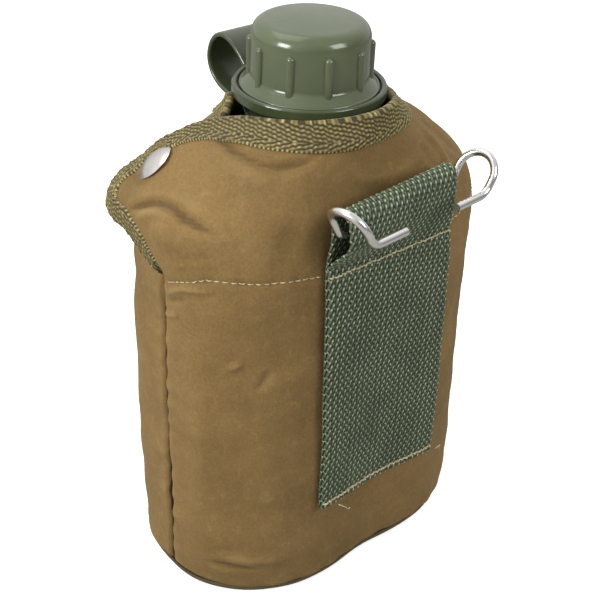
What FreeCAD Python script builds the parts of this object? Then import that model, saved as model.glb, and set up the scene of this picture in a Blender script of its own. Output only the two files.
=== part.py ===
import FreeCAD, Part
import math
import os
from FreeCAD import Vector

# A one-quart belt canteen: a moulded plastic bottle with a screw cap and a cap keeper strap, carried in a
# lined cloth cover. The hip side of the cover laps over both shoulders and snaps down on the outer side, and
# a webbing hanger on the hip side carries a wire hook for a belt.
#
# Frame, in millimetres: +Z up, z = 0 under the cover, the neck and cap turn about x = y = 0, X runs across
# the width, -Y is the hip side with the hanger and +Y is the outer side.

# --- Driving dimensions -----------------------------------------------------------------------------------

# The cover's outer surface, level by level: height, half width on the right, half width on the left, depth
# to the hip side, depth to the outer side, and how round the section is (0 kidney shape, 1 circle). The left
# shoulder stands proud because its snap draws the flap's corner up.
LEVELS = (
    (14.0, 67.0, 67.0, 50.5, 41.0, 0.0),
    (50.0, 67.0, 67.0, 50.5, 41.0, 0.0),
    (90.0, 67.0, 67.0, 49.6, 41.0, 0.0),
    (120.0, 67.0, 67.0, 48.6, 41.0, 0.0),
    (136.0, 67.0, 67.2, 47.6, 41.0, 0.02),
    (146.0, 66.4, 69.6, 45.4, 40.0, 0.06),
    (154.0, 62.6, 70.6, 42.6, 38.0, 0.14),
    (159.0, 57.4, 67.6, 40.8, 36.6, 0.22),
    (164.0, 52.6, 62.0, 39.2, 35.4, 0.34),
    (169.0, 47.2, 55.4, 37.6, 34.2, 0.48),
    (174.0, 40.8, 48.4, 35.8, 33.2, 0.64),
    (179.0, 35.2, 41.0, 34.0, 32.4, 0.82),
    (184.0, 32.0, 34.0, 32.0, 32.0, 1.0),
    (192.0, 31.6, 31.6, 31.6, 31.6, 1.0),
)
POWER_HIP = 2.25          # squareness of the section on the hip side
POWER_OUTER = 2.6         # squareness of the section on the outer side
HOLLOW = 5.0              # how far the hip side curves in at its middle
HOLLOW_WIDTH = 24.0
SECTION_POINTS = 36
BOTTOM_ROUND = 14.0
BOTTOM_STEPS = 4
SEAM_Y = -6.0             # plane of the side seams
SEAM_TOP = 136.0          # the side slits start here
SEAM_GAP = 0.1
COLLAR_TOP = 184.6

CLOTH = 1.0               # cover cloth
LAP = 3.6                 # the outer panel lies this far under the hip panel at the shoulders
LAP_FROM = 130.0          # the lap starts here
LAP_FULL = 144.0          # and is complete here
LINING = 2.6
LINING_GAP = 0.35
LINING_TOP = 176.0
FLOOR_SEAM = 8.0          # the bottom piece reaches this high
TAPE = 0.8                # binding tape
TAPE_GAP = 0.15
TAPE_WIDTH = 10.0

FLAP_Y = -10.0            # a shoulder flap folds along this line
FLAP_GAP = 0.6
FLAP_REACH = 26.0
FLAP_LOW = 153.0

SLOT_HALF = 11.0          # the outer collar is scooped out under the keeper strap
SLOT_FLOOR = 169.5

BOTTLE_CLEAR = 5.0        # from the cover's outer surface to the bottle
BOTTLE_WALL = 1.6
BOTTLE_LEVELS = (         # the bottle's shoulder: height, half width, hip depth, outer depth, roundness
    (136.0, 60.2, 39.6, 34.0, 0.0),
    (146.0, 57.2, 36.2, 30.6, 0.1),
    (153.0, 51.8, 32.4, 28.0, 0.25),
    (159.0, 43.8, 28.8, 25.8, 0.45),
    (164.0, 34.4, 25.8, 24.2, 0.7),
    (168.0, 25.6, 23.0, 22.4, 0.9),
    (171.0, 18.6, 18.6, 18.6, 1.0),
)
NECK_R = 16.0
NECK_BORE = 13.4
NECK_TOP = 205.3

PITCH = 4.5
THREAD_DEPTH = 1.35
THREAD_ROOT = 2.2         # width of a thread ridge at its foot
THREAD_TIP = 1.0
NECK_THREAD_Z = 191.0
NECK_THREAD_TURNS = 2.0
CAP_THREAD_TURNS = 1.25
THREAD_FLANK_GAP = 0.15

CAP_BORE = 17.9
CAP_SIDE = 20.7
CAP_FLANGE = 24.4
CAP_FOOT_Z = 180.2
FLANGE_Z = 184.6
CAP_CEILING = 207.1
CAP_TOP = 209.6
RIB_COUNT = 10
RIB_R = 1.5
RIB_PHASE = 30.6
GASKET_R = 17.6
GASKET_THICK = 1.7

KEEPER_OUT = 26.9
KEEPER_RIM = 24.9
KEEPER_BORE = 19.85
KEEPER_WEB_Z = 182.7
KEEPER_WEB = 1.7
KEEPER_TOP = 187.0
STRAP_WIDTH = 18.0
STRAP_THICK = 1.8
NECK_BAND_Z = 175.4
NECK_BAND_THICK = 2.0
NECK_BAND_R = 23.0

WEB_HALF = 28.5
WEB_THICK = 1.5
WEB_BOTTOM = 41.0
WEB_STITCH = 139.8
WEB_TOP = 165.2
WEB_OFF = 0.4
WEB_HEIGHTS = (WEB_BOTTOM, 66.0, 92.0, 118.0, 130.0, WEB_STITCH)
TUNNEL_YAW = 5.4          # the tunnel sits a little askew, left edge forward
TUNNEL_LEFT = 3.4         # half depth of the tunnel at its left edge
TUNNEL_RIGHT = 2.5

WIRE_R = 1.4
HOOK_CENTRE = Vector(0.3, -46.85, 156.6)
HOOK_YAW = 6.3            # the hook rests turned a little in its soft tunnel
HOOK_ROLL = 2.3
HOOK_LEAN = -3.4
HOOK_BAR = 28.5           # half length of the straight bar
HOOK_SPLAY = 31.0
HOOK_CORNER = 3.0
HOOK_LEG = 7.4
HOOK_ARC = 7.4
HOOK_SWEEP = 184.0
HOOK_DROP = 2.0
HOOK_BEND = 6.0
HOOK_TIP = 12.5
MOUTH = ((26.5, 1.6), (27.8, 2.5), (29.6, 4.9))   # the flared ends of the tunnel: place along the bar, radius

SNAP_X = 55.2             # the snaps' places on the shoulders
SNAP_Y = 14.0
SNAP_CAP_R = 7.5
SNAP_CAP_H = 2.4
SNAP_STEM_R = 1.3         # rivet of the cap, spread in the socket
SNAP_SOCKET_R = 5.3
SNAP_SOCKET_H = 2.05
SNAP_SOCKET_Z = -3.12     # the snap's parts are placed down from the flap's outer face
SNAP_STUD_R = 5.2
SNAP_STUD_Z = -3.55
SNAP_BALL_R = 1.75
SNAP_POST_R = 5.0
SNAP_POST_Z = -5.06
SNAP_PIN_R = 1.15
COLLAR_TAPE_R = 41.0      # the collar's tape ends this far from the neck's axis


# --- Sections and envelopes -------------------------------------------------------------------------------

def interpolate(rows, column, z):
    """Value of one column of a level table at height z."""
    if z <= rows[0][0]:
        return rows[0][column]
    for low, high in zip(rows, rows[1:]):
        if z <= high[0]:
            t = (z - low[0]) / (high[0] - low[0])
            return low[column] + t * (high[column] - low[column])
    return rows[-1][column]


def grown(rows, column, z, grow):
    """The same value on a surface moved outwards by grow, measured square to the profile."""
    slope = interpolate(rows, column, z + 1.0) - interpolate(rows, column, z - 1.0)
    length = math.hypot(2.0, slope)
    rise = -slope / length * grow
    return interpolate(rows, column, z - rise) + 2.0 / length * grow


def lap(z):
    """Depth of the outer panel below the hip panel at height z."""
    t = min(1.0, max(0.0, (z - LAP_FROM) / (LAP_FULL - LAP_FROM)))
    return LAP * t * t * (3.0 - 2.0 * t)


def section_point(angle, right, left, hip, outer, roundness):
    """One point of a kidney-shaped section, given as (x, y)."""
    c = math.cos(angle)
    s = math.sin(angle)
    square = POWER_HIP if s < 0 else POWER_OUTER
    power = square + (2.0 - square) * roundness
    middle = SEAM_Y * (1.0 - roundness)
    width = right if c > 0 else left
    depth = hip + middle if s < 0 else outer - middle
    x = math.copysign(width * abs(c) ** (2.0 / power), c)
    y = middle + math.copysign(depth * abs(s) ** (2.0 / power), s)
    if s < 0:
        y += HOLLOW * (1.0 - roundness) * s * s * math.exp(-(x / HOLLOW_WIDTH) ** 2)
    return x, y


def section_wire(z, right, left, hip, outer, roundness):
    points = []
    for i in range(SECTION_POINTS):
        x, y = section_point(2.0 * math.pi * i / SECTION_POINTS, right, left, hip, outer, roundness)
        points.append(Vector(x, y, z))
    steps = [i / SECTION_POINTS for i in range(SECTION_POINTS + 1)]
    curve = Part.BSplineCurve()
    curve.interpolate(Points=points, PeriodicFlag=True, Parameters=steps)
    return Part.Wire(curve.toShape())


def level(z, grow):
    """The five section sizes of the cover's surface at height z, moved out by grow."""
    sizes = [grown(LEVELS, column, z, grow) for column in (1, 2, 3, 4)]
    return sizes + [interpolate(LEVELS, 5, z)]


def envelope(grow, lapped=False, top=190.0):
    """Solid filled to the cover's outer surface moved out by grow, under the lap where lapped."""
    wires = []
    radius = BOTTOM_ROUND + grow
    for i in range(BOTTOM_STEPS):
        angle = 0.5 * math.pi * i / BOTTOM_STEPS
        inset = radius * (1.0 - math.sin(angle))
        wires.append(section_wire(BOTTOM_ROUND - radius * math.cos(angle), *level(BOTTOM_ROUND, grow - inset)))
    heights = [14.0, 32.0, 52.0, 72.0, 92.0, 110.0, 124.0, 134.0, 142.0, 149.0, 156.0, 163.0, 170.0, 177.0,
               184.0, top]
    for z in heights:
        wires.append(section_wire(z, *level(z, grow - (lap(z) if lapped else 0.0))))
    return Part.makeLoft(wires, True, False)


def shell(out, inward, lapped=False):
    return envelope(out, lapped).cut(envelope(inward, lapped))


def yz_prism(outline, x_low, x_high):
    """Prism over an outline given as (y, z) points, from x_low to x_high."""
    points = [Vector(x_low, y, z) for y, z in outline]
    face = Part.Face(Part.makePolygon(points + points[:1]))
    return face.extrude(Vector(x_high - x_low, 0, 0))


def surface_x(side, y, z, grow=0.0):
    """Half width of the cover's surface at (y, z) on one side: the snap seats are placed with it."""
    right, left, hip, outer, roundness = level(z, grow)
    middle = SEAM_Y * (1.0 - roundness)
    square = POWER_HIP if y < middle else POWER_OUTER
    power = square + (2.0 - square) * roundness
    depth = hip + middle if y < middle else outer - middle
    share = min(1.0, abs(y - middle) / depth)
    width = right if side > 0 else left
    return side * width * (1.0 - share ** power) ** (1.0 / power)


def snap_place(side):
    """Placement on the flap's outer face, local +Z pointing out of the cloth."""
    low, high = 140.0, 184.0
    for _ in range(40):
        z = 0.5 * (low + high)
        if abs(surface_x(side, SNAP_Y, z)) > SNAP_X:
            low = z
        else:
            high = z
    step = 2.0
    here = Vector(surface_x(side, SNAP_Y, z), SNAP_Y, z)
    along = Vector(surface_x(side, SNAP_Y + step, z), SNAP_Y + step, z) - here
    down = Vector(surface_x(side, SNAP_Y, z - step), SNAP_Y, z - step) - here
    normal = along.cross(down) * side
    if normal.z < 0:
        normal = normal * -1
    return FreeCAD.Placement(here, FreeCAD.Rotation(Vector(0, 0, 1), normal))


# --- Bottle -----------------------------------------------------------------------------------------------

def bottle_form(grow):
    wires = []
    radius = BOTTOM_ROUND - BOTTLE_CLEAR + grow
    for i in range(BOTTOM_STEPS):
        angle = 0.5 * math.pi * i / BOTTOM_STEPS
        inset = radius * (1.0 - math.sin(angle))
        wires.append(section_wire(BOTTOM_ROUND - radius * math.cos(angle),
                                  *level(BOTTOM_ROUND, grow - BOTTLE_CLEAR - inset)))
    for z in (14.0, 34.0, 56.0, 80.0, 104.0, 122.0):
        wires.append(section_wire(z, *level(z, grow - BOTTLE_CLEAR)))
    for row in BOTTLE_LEVELS:
        z, half, hip, outer, roundness = row
        height = z + grow * (1.0 if z > 160.0 else 0.0)
        wires.append(section_wire(height, half + grow, half + grow, hip + grow, outer + grow, roundness))
    return Part.makeLoft(wires, True, False)


def thread_ridge(radius, inward, z_start, turns):
    """Helical ridge standing out of a cylinder of this radius, outwards or inwards."""
    side = -1.0 if inward else 1.0
    foot = radius - side * 0.15
    tip = radius + side * THREAD_DEPTH
    helix = Part.makeHelix(PITCH, PITCH * turns, radius)
    profile = Part.makePolygon([
        Vector(foot, 0, -THREAD_ROOT / 2),
        Vector(tip, 0, -THREAD_TIP / 2),
        Vector(tip, 0, THREAD_TIP / 2),
        Vector(foot, 0, THREAD_ROOT / 2),
        Vector(foot, 0, -THREAD_ROOT / 2),
    ])
    pipe = Part.BRepOffsetAPI.MakePipeShell(Part.Wire(helix))
    pipe.setFrenetMode(True)
    pipe.add(profile, False, False)
    pipe.build()
    pipe.makeSolid()
    ridge = pipe.shape()
    ridge.translate(Vector(0, 0, z_start))
    return ridge


def bottle_body():
    neck = Part.makeCylinder(NECK_R, NECK_TOP - 168.0, Vector(0, 0, 168.0))
    lip = neck.makeChamfer(0.6, [e for e in neck.Edges if abs(e.BoundBox.ZMin - NECK_TOP) < 0.01
                                 and e.BoundBox.ZLength < 0.01])
    body = bottle_form(0.0).fuse(lip)
    body = body.cut(bottle_form(-BOTTLE_WALL))
    body = body.cut(Part.makeCylinder(NECK_BORE, NECK_TOP - 150.0, Vector(0, 0, 160.0)))
    return body.fuse(thread_ridge(NECK_R, False, NECK_THREAD_Z, NECK_THREAD_TURNS))


# --- Cap and keeper ---------------------------------------------------------------------------------------

def arc_edge(start, through, end):
    return Part.Arc(Vector(*start), Vector(*through), Vector(*end)).toShape()


def line_edge(start, end):
    return Part.makeLine(Vector(*start), Vector(*end))


def revolved(edges):
    face = Part.Face(Part.Wire(edges))
    return face.revolve(Vector(0, 0, 0), Vector(0, 0, 1), 360)


def chain(points):
    """Straight edges through (r, z) points."""
    return [line_edge((a[0], 0, a[1]), (b[0], 0, b[1])) for a, b in zip(points, points[1:])]


def cap_shell():
    foot_r = KEEPER_BORE - 0.25
    bead_r = KEEPER_BORE + 0.45
    bead_top = KEEPER_WEB_Z - 0.2
    lower = chain([
        (CAP_BORE, CAP_FOOT_Z), (foot_r, CAP_FOOT_Z), (bead_r, bead_top - 1.2), (bead_r, bead_top - 0.4),
        (foot_r, bead_top), (foot_r, FLANGE_Z), (CAP_FLANGE - 0.4, FLANGE_Z), (CAP_FLANGE, FLANGE_Z + 0.4),
        (CAP_FLANGE, FLANGE_Z + 1.5),
    ])
    brim = [arc_edge((CAP_FLANGE, 0, FLANGE_Z + 1.5), (CAP_FLANGE - 0.18, 0, FLANGE_Z + 2.0),
                     (CAP_FLANGE - 0.7, 0, FLANGE_Z + 2.2))]
    side = chain([(CAP_FLANGE - 0.7, FLANGE_Z + 2.2), (CAP_SIDE + 0.9, FLANGE_Z + 4.4)])
    fillet = [arc_edge((CAP_SIDE + 0.9, 0, FLANGE_Z + 4.4), (CAP_SIDE + 0.25, 0, FLANGE_Z + 5.1),
                       (CAP_SIDE, 0, FLANGE_Z + 6.2))]
    wall = chain([(CAP_SIDE, FLANGE_Z + 6.2), (CAP_SIDE - 0.2, CAP_TOP - 6.2)])
    edge = [arc_edge((CAP_SIDE - 0.2, 0, CAP_TOP - 6.2), (CAP_SIDE - 1.75, 0, CAP_TOP - 2.3),
                     (CAP_SIDE - 5.4, 0, CAP_TOP - 0.75))]
    crown_r = CAP_SIDE - 5.4
    crown_h = 0.75
    ball = (crown_r ** 2 + crown_h ** 2) / (2 * crown_h)
    half_r = crown_r / 2
    half_z = CAP_TOP - ball + math.sqrt(ball ** 2 - half_r ** 2)
    crown = [arc_edge((crown_r, 0, CAP_TOP - crown_h), (half_r, 0, half_z), (0, 0, CAP_TOP))]
    inner = chain([(0, CAP_TOP), (0, CAP_CEILING), (CAP_BORE, CAP_CEILING), (CAP_BORE, CAP_FOOT_Z)])
    shape = revolved(lower + brim + side + fillet + wall + edge + crown + inner)
    rib_foot = FLANGE_Z + 3.0
    rib_height = CAP_TOP - 8.6 - rib_foot
    rib = Part.makeCylinder(RIB_R, rib_height, Vector(CAP_SIDE - 0.25, 0, rib_foot))
    rib = rib.fuse(Part.makeSphere(RIB_R, Vector(CAP_SIDE - 0.25, 0, rib_foot + rib_height)))
    keep_out = Part.makeCylinder(CAP_BORE + 1.0, 40, Vector(0, 0, CAP_FOOT_Z))
    rib = rib.cut(keep_out)
    for i in range(RIB_COUNT):
        one = rib.copy()
        one.rotate(Vector(0, 0, 0), Vector(0, 0, 1), RIB_PHASE + 360.0 * i / RIB_COUNT)
        shape = shape.fuse(one)
    z_thread = NECK_THREAD_Z - 0.5 * (THREAD_ROOT + THREAD_TIP) - THREAD_FLANK_GAP
    return shape.removeSplitter().fuse(thread_ridge(CAP_BORE, True, z_thread, CAP_THREAD_TURNS))


def cap_gasket():
    bottom = CAP_CEILING - GASKET_THICK
    disc = Part.makeCylinder(GASKET_R, GASKET_THICK - 0.02, Vector(0, 0, bottom))
    return disc.cut(Part.makeCylinder(11.0, GASKET_THICK, Vector(0, 0, bottom)))


def keeper_ring():
    web_top = KEEPER_WEB_Z + KEEPER_WEB
    edges = chain([(KEEPER_BORE, KEEPER_WEB_Z), (KEEPER_OUT - 0.8, KEEPER_WEB_Z)])
    edges += [arc_edge((KEEPER_OUT - 0.8, 0, KEEPER_WEB_Z), (KEEPER_OUT - 0.23, 0, KEEPER_WEB_Z + 0.23),
                       (KEEPER_OUT, 0, KEEPER_WEB_Z + 0.8))]
    edges += chain([(KEEPER_OUT, KEEPER_WEB_Z + 0.8), (KEEPER_OUT, KEEPER_TOP - 1.0)])
    edges += [arc_edge((KEEPER_OUT, 0, KEEPER_TOP - 1.0), (KEEPER_RIM + 1.0, 0, KEEPER_TOP),
                       (KEEPER_RIM, 0, KEEPER_TOP - 1.0))]
    edges += chain([(KEEPER_RIM, KEEPER_TOP - 1.0), (KEEPER_RIM, web_top), (KEEPER_BORE, web_top),
                    (KEEPER_BORE, KEEPER_WEB_Z)])
    return revolved(edges)


def keeper_collar():
    band = Part.makeCylinder(NECK_BAND_R, NECK_BAND_THICK, Vector(0, 0, NECK_BAND_Z))
    band = band.cut(Part.makeCylinder(NECK_R + 0.35, 10, Vector(0, 0, NECK_BAND_Z - 4)))
    rims = [e for e in band.Edges if e.BoundBox.ZLength < 0.01 and e.BoundBox.XMax > NECK_BAND_R - 0.1]
    return band.makeFillet(0.6, rims)


def strap_spine():
    """Middle line of the keeper strap in the YZ plane, from the ring round to the neck band."""
    points = [
        Vector(0, 25.6, 186.0), Vector(0, 29.6, 189.6), Vector(0, 35.0, 192.6), Vector(0, 40.5, 193.0),
        Vector(0, 45.0, 189.6), Vector(0, 47.2, 183.2), Vector(0, 45.2, 177.4), Vector(0, 40.0, 173.6),
        Vector(0, 33.0, 172.2), Vector(0, 27.5, 173.6), Vector(0, 22.4, 176.4),
    ]
    spine = Part.BSplineCurve()
    spine.interpolate(points)
    return spine


def keeper_loop():
    spine = strap_spine()
    steps = 24
    first = spine.FirstParameter
    span = spine.LastParameter - first
    outer = []
    inner = []
    for i in range(steps + 1):
        u = first + span * i / steps
        point = spine.value(u)
        tangent = spine.tangent(u)[0]
        across = Vector(0, -tangent.z, tangent.y) * (STRAP_THICK / 2)
        outer.append(point + across)
        inner.append(point - across)
    curve_out = Part.BSplineCurve()
    curve_out.interpolate(outer)
    curve_in = Part.BSplineCurve()
    curve_in.interpolate(inner)
    outline = Part.Wire([
        curve_out.toShape(), Part.makeLine(outer[-1], inner[-1]), curve_in.toShape(),
        Part.makeLine(inner[0], outer[0]),
    ])
    face = Part.Face(outline)
    face.translate(Vector(-STRAP_WIDTH / 2, 0, 0))
    band = face.extrude(Vector(STRAP_WIDTH, 0, 0))
    ring_room = Part.makeCylinder(KEEPER_OUT + 0.05, KEEPER_TOP + 0.1 - KEEPER_WEB_Z, Vector(0, 0, KEEPER_WEB_Z - 0.05))
    collar_room = Part.makeCylinder(NECK_BAND_R + 0.05, 6.0, Vector(0, 0, NECK_BAND_Z - 2.0))
    band = band.cut(ring_room).cut(collar_room)
    return max(band.Solids, key=lambda s: s.Volume)


# --- Cover cloth, lining and binding ------------------------------------------------------------------------

def hip_outline():
    """Side view of the hip panel: below the slits it ends at the seam, above them at the flap's fold."""
    return [
        (-70, FLOOR_SEAM), (SEAM_Y - SEAM_GAP, FLOOR_SEAM), (SEAM_Y - SEAM_GAP, SEAM_TOP),
        (6.0, FLAP_LOW - 1.0), (FLAP_Y, FLAP_LOW - 0.4), (FLAP_Y, COLLAR_TOP), (-70, COLLAR_TOP),
    ]


def outer_outline():
    """Side view of the outer panel, whose bound edge runs up under the flap to the collar."""
    return [
        (SEAM_Y + SEAM_GAP, FLOOR_SEAM), (70, FLOOR_SEAM), (70, COLLAR_TOP - 3.6), (2.0, COLLAR_TOP - 3.6),
        (2.0, 166.0), (8.6, 153.0), (SEAM_Y + SEAM_GAP, SEAM_TOP - 1.0),
    ]


def flap_outline(inset=0.0):
    """Side view of a shoulder flap, from its fold to its bound edge, or that edge moved in by inset."""
    return [
        (FLAP_Y + FLAP_GAP, FLAP_LOW), (8.0, FLAP_LOW), (15.0 - inset * 0.7, FLAP_LOW - 3.0 + inset * 0.7),
        (FLAP_REACH - inset, FLAP_LOW + 1.0 + inset * 0.3), (FLAP_REACH - inset, 163.0 - inset * 0.3),
        (17.0 - inset, 174.0 - inset * 0.8), (4.0 - inset * 0.4, COLLAR_TOP), (FLAP_Y + FLAP_GAP, COLLAR_TOP),
    ]


def strap_slot(margin=0.0):
    half = SLOT_HALF + margin
    return Part.makeBox(2 * half, 60, 30, Vector(-half, 12, SLOT_FLOOR - margin))


def snap_room(place, radius, low, high):
    """Cylinder on a snap's axis, from low to high above the flap's outer face."""
    room = Part.makeCylinder(radius, high - low, Vector(0, 0, low))
    room.Placement = place
    return room


def cover_panels(places):
    hip_cloth = shell(0.0, -CLOTH)
    outer_cloth = shell(0.0, -CLOTH, lapped=True)
    back = hip_cloth.common(yz_prism(hip_outline(), -90, 90))
    front = outer_cloth.common(yz_prism(outer_outline(), -90, 90)).cut(strap_slot())
    floor = hip_cloth.common(Part.makeBox(200, 200, FLOOR_SEAM + 0.9, Vector(-100, -100, -1)))
    flaps = {}
    for name, side in (("left", -1), ("right", 1)):
        low, high = (-90, -1) if side < 0 else (1, 90)
        flap = hip_cloth.common(yz_prism(flap_outline(), low, high))
        place = places[name]
        flap = flap.cut(snap_room(place, SNAP_SOCKET_R + 0.7, -8.0, -CLOTH + 0.02))
        flap = flap.cut(snap_room(place, SNAP_STEM_R + 0.2, -8.0, 4.0))
        flaps[name] = flap.cut(snap_room(place, SNAP_CAP_R + 0.2, 0.0, 4.0))
        front = front.cut(snap_room(place, SNAP_STUD_R + 0.3, -LAP, 3.0))
        front = front.cut(snap_room(place, SNAP_POST_R + 0.5, -9.0, -LAP - CLOTH))
        front = front.cut(snap_room(place, SNAP_PIN_R + 0.2, -9.0, 3.0))
    return back, front, floor, flaps


def linings(places):
    felt = shell(-CLOTH - LINING_GAP, -CLOTH - LINING_GAP - LINING, lapped=True)
    felt = felt.cut(strap_slot(1.0))
    hip = yz_prism([(-70, -5), (SEAM_Y - SEAM_GAP, -5), (SEAM_Y - SEAM_GAP, LINING_TOP), (-70, LINING_TOP)], -90, 90)
    out = yz_prism([(SEAM_Y + SEAM_GAP, -5), (70, -5), (70, LINING_TOP), (SEAM_Y + SEAM_GAP, LINING_TOP)], -90, 90)
    for name in places:
        felt = felt.cut(snap_room(places[name], SNAP_SOCKET_R + 0.9, -12.0, -LAP))
    return felt.common(hip), felt.common(out)


def tape_band(region, lapped=False):
    """Tape on the outer face of a panel, inside a region given in side view."""
    return shell(TAPE_GAP + TAPE, TAPE_GAP, lapped).common(region)


def binding_hip_collar():
    low = COLLAR_TOP - TAPE_WIDTH
    high = COLLAR_TOP + TAPE
    side_view = yz_prism([(-70, low), (FLAP_Y, low), (FLAP_Y, high), (-70, high)], -90, 90)
    folded = shell(TAPE_GAP + TAPE, -CLOTH - TAPE_GAP - TAPE).common(side_view)
    room = shell(TAPE_GAP, -CLOTH - TAPE_GAP)
    room = room.common(Part.makeBox(200, 200, COLLAR_TOP + TAPE_GAP, Vector(-100, -100, 0)))
    return folded.cut(room).common(Part.makeCylinder(COLLAR_TAPE_R, high))


def binding_flap(side, place):
    strip = yz_prism(flap_outline(), -90 if side < 0 else 1, -1 if side < 0 else 90)
    inside = yz_prism(flap_outline(TAPE_WIDTH * 0.8), -91, 91)
    band = tape_band(strip).cut(inside).cut(snap_room(place, SNAP_CAP_R + 0.2, -2.0, 5.0))
    return max(band.Solids, key=lambda s: s.Volume)


def binding_slit(side):
    edge_low = (SEAM_Y - SEAM_GAP, SEAM_TOP)
    edge_high = (6.0, FLAP_LOW - 1.0)
    strip = [edge_low, edge_high, (edge_high[0] - 8.0, FLAP_LOW - 0.8), (edge_low[0] - 7.0, SEAM_TOP + 2.0)]
    low, high = (-90, -1) if side < 0 else (1, 90)
    return tape_band(yz_prism(strip, low, high))


def binding_outer_edge(places):
    """Tape on the outer panel: up both slit edges and round the outer half of the collar."""
    top = COLLAR_TOP - 3.6
    edge = [
        (SEAM_Y + SEAM_GAP + 1.0, SEAM_TOP + 0.5), (8.6, 153.0), (2.0, 166.0), (2.0, top), (70, top),
        (70, top - TAPE_WIDTH), (10.0, top - TAPE_WIDTH), (9.0, 168.0), (16.0, 153.0), (3.0, SEAM_TOP + 0.5),
    ]
    scoop = Part.makeBox(2 * SLOT_HALF + 12, 60, TAPE_WIDTH, Vector(-SLOT_HALF - 6, 12, SLOT_FLOOR - 6))
    band = tape_band(yz_prism(edge, -90, 90).fuse(scoop), lapped=True).cut(strap_slot())
    for name in places:
        band = band.cut(snap_room(places[name], SNAP_SOCKET_R + 0.4, -6.0, -1.0))
    return band


# --- Snaps ------------------------------------------------------------------------------------------------

def placed(shape, place):
    shape.Placement = place
    return shape


def snap_parts(place):
    """Cap and socket on the flap, stud and post on the outer panel, all on one axis."""
    dome_r = (SNAP_CAP_R ** 2 + SNAP_CAP_H ** 2) / (2 * SNAP_CAP_H)
    ball = Part.makeSphere(dome_r, Vector(0, 0, SNAP_CAP_H - dome_r))
    cap = ball.common(Part.makeCylinder(SNAP_CAP_R - 0.15, SNAP_CAP_H + 1, Vector(0, 0, 0.02)))
    cap = cap.fuse(Part.makeCylinder(SNAP_STEM_R, 2.0, Vector(0, 0, -1.9)))
    socket_foot = Vector(0, 0, SNAP_SOCKET_Z)
    socket = Part.makeCylinder(SNAP_SOCKET_R, SNAP_SOCKET_H, socket_foot)
    socket = socket.cut(Part.makeCylinder(SNAP_BALL_R + 0.35, 1.3, socket_foot))
    socket = socket.cut(Part.makeCylinder(SNAP_STEM_R + 0.1, 3.0, socket_foot))
    stud = Part.makeCylinder(SNAP_STUD_R, 0.32, Vector(0, 0, SNAP_STUD_Z))
    stud = stud.fuse(Part.makeCylinder(SNAP_BALL_R, 1.2, Vector(0, 0, SNAP_STUD_Z + 0.15)))
    stud = stud.cut(Part.makeCylinder(SNAP_PIN_R + 0.1, 1.1, Vector(0, 0, SNAP_STUD_Z - 0.05)))
    post = Part.makeCylinder(SNAP_POST_R, 0.4, Vector(0, 0, SNAP_POST_Z))
    post = post.fuse(Part.makeCylinder(SNAP_PIN_R, 2.3, Vector(0, 0, SNAP_POST_Z + 0.16)))
    return {
        "snap_cap": placed(cap, place),
        "snap_socket": placed(socket, place),
        "snap_stud": placed(stud, place),
        "snap_post": placed(post, place),
    }


# --- Webbing hanger and wire hook ---------------------------------------------------------------------------

def hip_reach(z):
    """How far the hip side stands out at height z, over the webbing's width."""
    right, left, hip, outer, roundness = level(z, 0.0)
    reach = 0.0
    for i in range(SECTION_POINTS * 4):
        x, y = section_point(-math.pi * i / (SECTION_POINTS * 4), right, left, hip, outer, roundness)
        if abs(x) <= WEB_HALF:
            reach = max(reach, -y)
    return reach


def behind(y, z):
    """The webbing's back face at height z: at y, or just clear of the hip side where that is further out."""
    return min(y, -hip_reach(z) - WEB_OFF)


def webbing_end(x, middle, half_depth):
    """Closed outline of the folded webbing at one edge: two sewn layers, then the open tunnel."""
    back = middle + half_depth + WEB_THICK
    front = middle - half_depth - WEB_THICK
    crown = WEB_TOP - half_depth - WEB_THICK
    sewn_back = [(behind(0, z), z) for z in WEB_HEIGHTS]
    sewn_front = [(y - 2 * WEB_THICK, z) for y, z in reversed(sewn_back)]
    rise = [(behind(back, 149.0), 149.0), (behind(back, crown), crown)]
    points = sewn_back + rise + [(front, crown), (front, 150.0)] + sewn_front
    return tunnel_wire(x, points, len(sewn_back) + 1, Vector(x, middle, WEB_TOP))


def tunnel_end(x, middle, half_depth):
    """Closed outline of the tunnel's hollow at one edge."""
    back = middle + half_depth
    front = middle - half_depth
    crown = WEB_TOP - half_depth - WEB_THICK
    points = [
        (behind(0, WEB_STITCH) - WEB_THICK, WEB_STITCH + 2.0),
        (behind(back + WEB_THICK, 149.0) - WEB_THICK, 149.5),
        (behind(back + WEB_THICK, crown) - WEB_THICK, crown),
        (front, crown),
        (front, 150.5),
    ]
    return tunnel_wire(x, points, 2, Vector(x, middle, WEB_TOP - WEB_THICK))


def tunnel_wire(x, points, arc_after, arc_top):
    """Closed wire through (y, z) points at x, with an arc over the top after one of them."""
    corners = [Vector(x, y, z) for y, z in points]
    edges = []
    for i, corner in enumerate(corners):
        following = corners[(i + 1) % len(corners)]
        if i == arc_after:
            edges.append(Part.Arc(corner, arc_top, following).toShape())
        else:
            edges.append(Part.makeLine(corner, following))
    return Part.Wire(edges)


def tunnel_mouth(side):
    """Flare worn into one end of the tunnel, round the hook's bar, so that the hook's bend can swing."""
    profile = [(MOUTH[0][0], 0.0)] + list(MOUTH) + [(MOUTH[-1][0], 0.0)]
    corners = [Vector(side * along, 0, radius) for along, radius in profile]
    face = Part.Face(Part.makePolygon(corners + corners[:1]))
    flare = face.revolve(Vector(0, 0, 0), Vector(1, 0, 0), 360)
    flare.Placement = FreeCAD.Placement(HOOK_CENTRE, hook_rotation())
    return flare


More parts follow.
